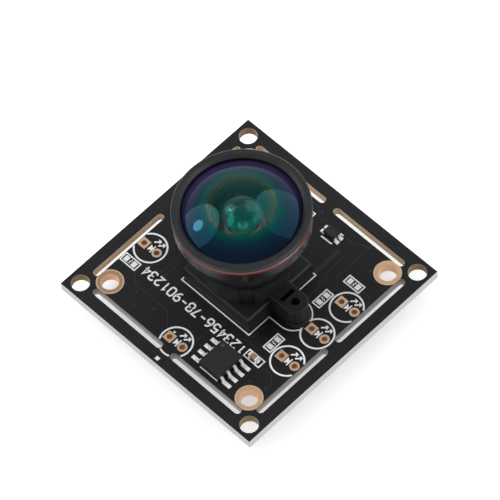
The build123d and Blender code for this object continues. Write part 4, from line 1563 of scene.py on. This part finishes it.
    def build(self) -> None:
        """Make all of the board's copper and solder and dress the plated holes."""
        self.top_tracks()
        self.back_tracks()
        self.vias()
        self.lands()
        self.top_solder()
        self.back_solder()
        dress(Finishes.BOARD, "circuit_board")
        dress(Finishes.COPPER, "mounting_hole_plating", "light_pad_plating")
        dress(Finishes.TINNED, "solder_pads")


@dataclass
class BoardParts:
    """Finishes of the parts on the board, and the marks on the chips."""

    mark_radius: float = 0.3
    back_mark_radius: float = 0.39
    mark_inset: float = 0.75
    mark_lift: float = 0.01

    def chip_marks(self) -> None:
        """The round mark beside each large chip's first lead."""
        for name, node, up, radius in (("flash_chip_mark", "flash_chip", 1, self.mark_radius),
                                       ("processor_mark", "processor_chip", -1, self.back_mark_radius)):
            low, high = box_mm(node)
            mark = PrintedLayer(name, high.z if up > 0 else low.z, up, self.mark_lift)
            mark.dot((low.x + self.mark_inset, high.y - self.mark_inset), radius)
            mark.build(Finishes.CHIP_MARK, "chip_black")

    def build(self) -> None:
        """Dress the parts and mark the chips."""
        dress(Finishes.CHIP, "flash_chip", "regulator_chip", "processor_chip")
        dress(Finishes.PIN, "flash_chip_leads", "regulator_leads", "processor_leads", "connector_pins",
              "connector_tabs", "chip_capacitor_ends", "back_capacitor_ends", "back_resistor_ends")
        dress(Finishes.STEEL, "crystal_can", "back_crystal_can")
        dress(Finishes.BROWN, "chip_capacitors", "back_capacitors")
        dress(Finishes.BLACK, "back_resistors")
        dress(Finishes.FERRITE, "inductor")
        dress(Finishes.NYLON, "connector_housing")
        self.chip_marks()


# Holder and lens

@dataclass
class HolderUnit:
    """The lens holder with its filter, sensor and screws."""

    def build(self) -> None:
        """Dress the holder and what it covers."""
        dress(Finishes.HOLDER, "lens_holder")
        dress(Finishes.FILTER, "infrared_filter")
        dress(Finishes.COVER, "sensor_glass")
        dress(Finishes.SENSOR, "image_sensor")
        dress(Finishes.SCREW, "holder_screws")


@dataclass
class LensUnit:
    """The lens: its thread, the rings inside its front barrel, and every piece's finish."""

    thread_radius: float = 5.87
    thread_ridge: float = 0.11
    thread_pitch: float = 0.5
    thread_low: float = 4.3
    thread_high: float = 8.05
    cone_low: Point = (4.7, 15.72)
    cone_high: Point = (6.75, 17.25)
    cone_rings: int = 7
    ring_wire: float = 0.05

    def build(self) -> None:
        """Make the thread and the rings and dress the lens."""
        thread = ThreadHelix("barrel_thread", Finishes.TURNED, self.thread_radius, self.thread_low,
                             self.thread_high, self.thread_pitch, self.thread_ridge)
        thread.build("focus_barrel", "black_anodised")
        rings = RingStack("cone_rings", Finishes.TURNED, self.cone_rings, self.cone_low, self.cone_high,
                          self.ring_wire)
        rings.build("front_group", "black_anodised")
        dress(Finishes.FOCUS, "lens_barrel")
        dress(Finishes.TURNED, "aperture_stop", "field_lens_ring")
        dress(Finishes.CELL, "middle_cell")
        dress(Finishes.BRIGHT, "second_element_ring")
        dress(Finishes.RING, "retaining_ring")
        dress(Finishes.FRONT_BARREL, "front_barrel")
        dress(Finishes.RED, "red_line_ring")
        dress(Finishes.FIELD_GLASS, "field_lens")
        dress(Finishes.REAR_GLASS, "rear_element")
        dress(Finishes.MIDDLE_GLASS, "middle_element")
        dress(Finishes.SECOND_GLASS, "second_element")
        dress(Finishes.FRONT_GLASS, "front_element")


# Studio

def direction(azimuth: float, elevation: float) -> Vector:
    """The way from the object to an eye or a lamp, from its angles in degrees."""
    turn, lift = math.radians(azimuth), math.radians(elevation)
    return Vector((math.sin(turn) * math.cos(lift), -math.cos(turn) * math.cos(lift), math.sin(lift)))


@dataclass(frozen=True)
class Lamp:
    """A soft round lamp aimed at the object: its direction, distance, size and power."""

    name: str
    azimuth: float
    elevation: float
    distance: float
    size: float
    power: float


@dataclass
class Studio:
    """Camera, floor, lamps and the room's light."""

    azimuth: float = 49.95
    elevation: float = 58.2
    roll: float = -6.02
    distance: float = 0.6834
    pixels_across: float = 500.0
    focal_pixels: float = 4798.0
    pixels_per_mm: float = 7.02
    centre_shift: Point = (1.3, 27.4)
    sensor: float = 36.0
    board_top: float = 1.6
    floor_half: float = 3.0
    soft_strength: float = 0.42
    lamps: tuple[Lamp, ...] = (
        Lamp("left spot", -62.0, 42.0, 0.45, 0.085, 0.27),
        Lamp("left softbox", -62.0, 42.0, 0.45, 0.36, 0.68),
        Lamp("back softbox", 168.0, 44.0, 0.5, 0.5, 0.8),
        Lamp("right fill", 112.0, 24.0, 0.5, 0.34, 0.42),
    )

    def camera(self) -> None:
        """The camera at the photograph's angle."""
        back = direction(self.azimuth, self.elevation)
        turn, roll = math.radians(self.azimuth), math.radians(self.roll)
        level = Vector((math.cos(turn), math.sin(turn), 0.0))
        upward = back.cross(level)
        right = level * math.cos(roll) + upward * math.sin(roll)
        top = upward * math.cos(roll) - level * math.sin(roll)
        data = bpy.data.cameras.new("camera")
        data.sensor_width = self.sensor
        data.lens = self.focal_pixels / self.pixels_across * self.sensor
        data.clip_start, data.clip_end = 0.01, 20.0
        camera = bpy.data.objects.new("camera", data)
        shift = [part / self.pixels_per_mm * MM for part in self.centre_shift]
        aim = Vector((0.0, 0.0, self.board_top * MM)) + right * shift[0] + top * shift[1]
        turned = Matrix((right, top, back)).transposed().to_4x4()
        camera.matrix_world = Matrix.Translation(aim + back * self.distance) @ turned
        bpy.context.scene.collection.objects.link(camera)
        bpy.context.scene.camera = camera

    def floor(self) -> None:
        """A wide pale floor under the object."""
        low, half = CAD_BOX[0][2], self.floor_half
        corners = [(-half, -half, low), (half, -half, low), (half, half, low), (-half, half, low)]
        mesh = bpy.data.meshes.new("floor")
        mesh.from_pydata(corners, [], [(0, 1, 2, 3)])
        mesh.materials.append(Finishes.FLOOR.material())
        new_mesh_object("floor", mesh)

    def light(self) -> None:
        """The soft lamps round the object."""
        for lamp in self.lamps:
            data = bpy.data.lights.new(lamp.name, "AREA")
            data.energy = lamp.power
            data.shape = "DISK"
            data.size = lamp.size
            way = direction(lamp.azimuth, lamp.elevation)
            made = bpy.data.objects.new(lamp.name, data)
            made.location = way * lamp.distance
            made.rotation_euler = way.to_track_quat("Z", "Y").to_euler()
            bpy.context.scene.collection.objects.link(made)

    def room(self) -> None:
        """The room: soft light on matt surfaces, a white background for what the camera and gloss see."""
        world = bpy.data.worlds.new("room")
        world.use_nodes = True
        tree = Tree(world.node_tree)
        world.node_tree.nodes.clear()
        seen, gloss = tree.sight()
        way = tree.node("ShaderNodeTexCoord", output="Generated")
        height = tree.node("ShaderNodeSeparateXYZ", {0: way}).other("Z")
        sky = tree.node("ShaderNodeValToRGB", {0: height}, stops=[
            (0.0, (1.0, 1.0, 1.0)), (0.35, (0.80, 0.82, 0.85)), (0.75, (0.46, 0.47, 0.49)),
            (1.0, (0.34, 0.35, 0.36))])
        lights = (((0.95, 0.97, 1.0), self.soft_strength), (sky, 1.0), ((1.0, 1.0, 1.0), 1.0))
        soft, mirrored, white = (
            tree.node("ShaderNodeBackground", {"Color": colour, "Strength": strength})
            for colour, strength in lights)
        room = tree.node("ShaderNodeMixShader", {0: gloss, 1: soft, 2: mirrored})
        room = tree.node("ShaderNodeMixShader", {0: seen, 1: room, 2: white})
        tree.node("ShaderNodeOutputWorld", {"Surface": room})
        bpy.context.scene.world = world

    def build(self) -> None:
        """Set up the picture."""
        bpy.context.scene.view_settings.view_transform = "Standard"
        self.camera()
        self.floor()
        self.light()
        self.room()
        log.info("studio is ready")


def main() -> None:
    """Build the sub-assemblies in order."""
    logging.basicConfig(level=logging.INFO, format="%(name)s: %(message)s")
    Studio().build()
    for unit in (BoardCopper(), BoardPrint(), BoardParts(), HolderUnit(), LensUnit()):
        unit.build()


if __name__ == "__main__":
    main()
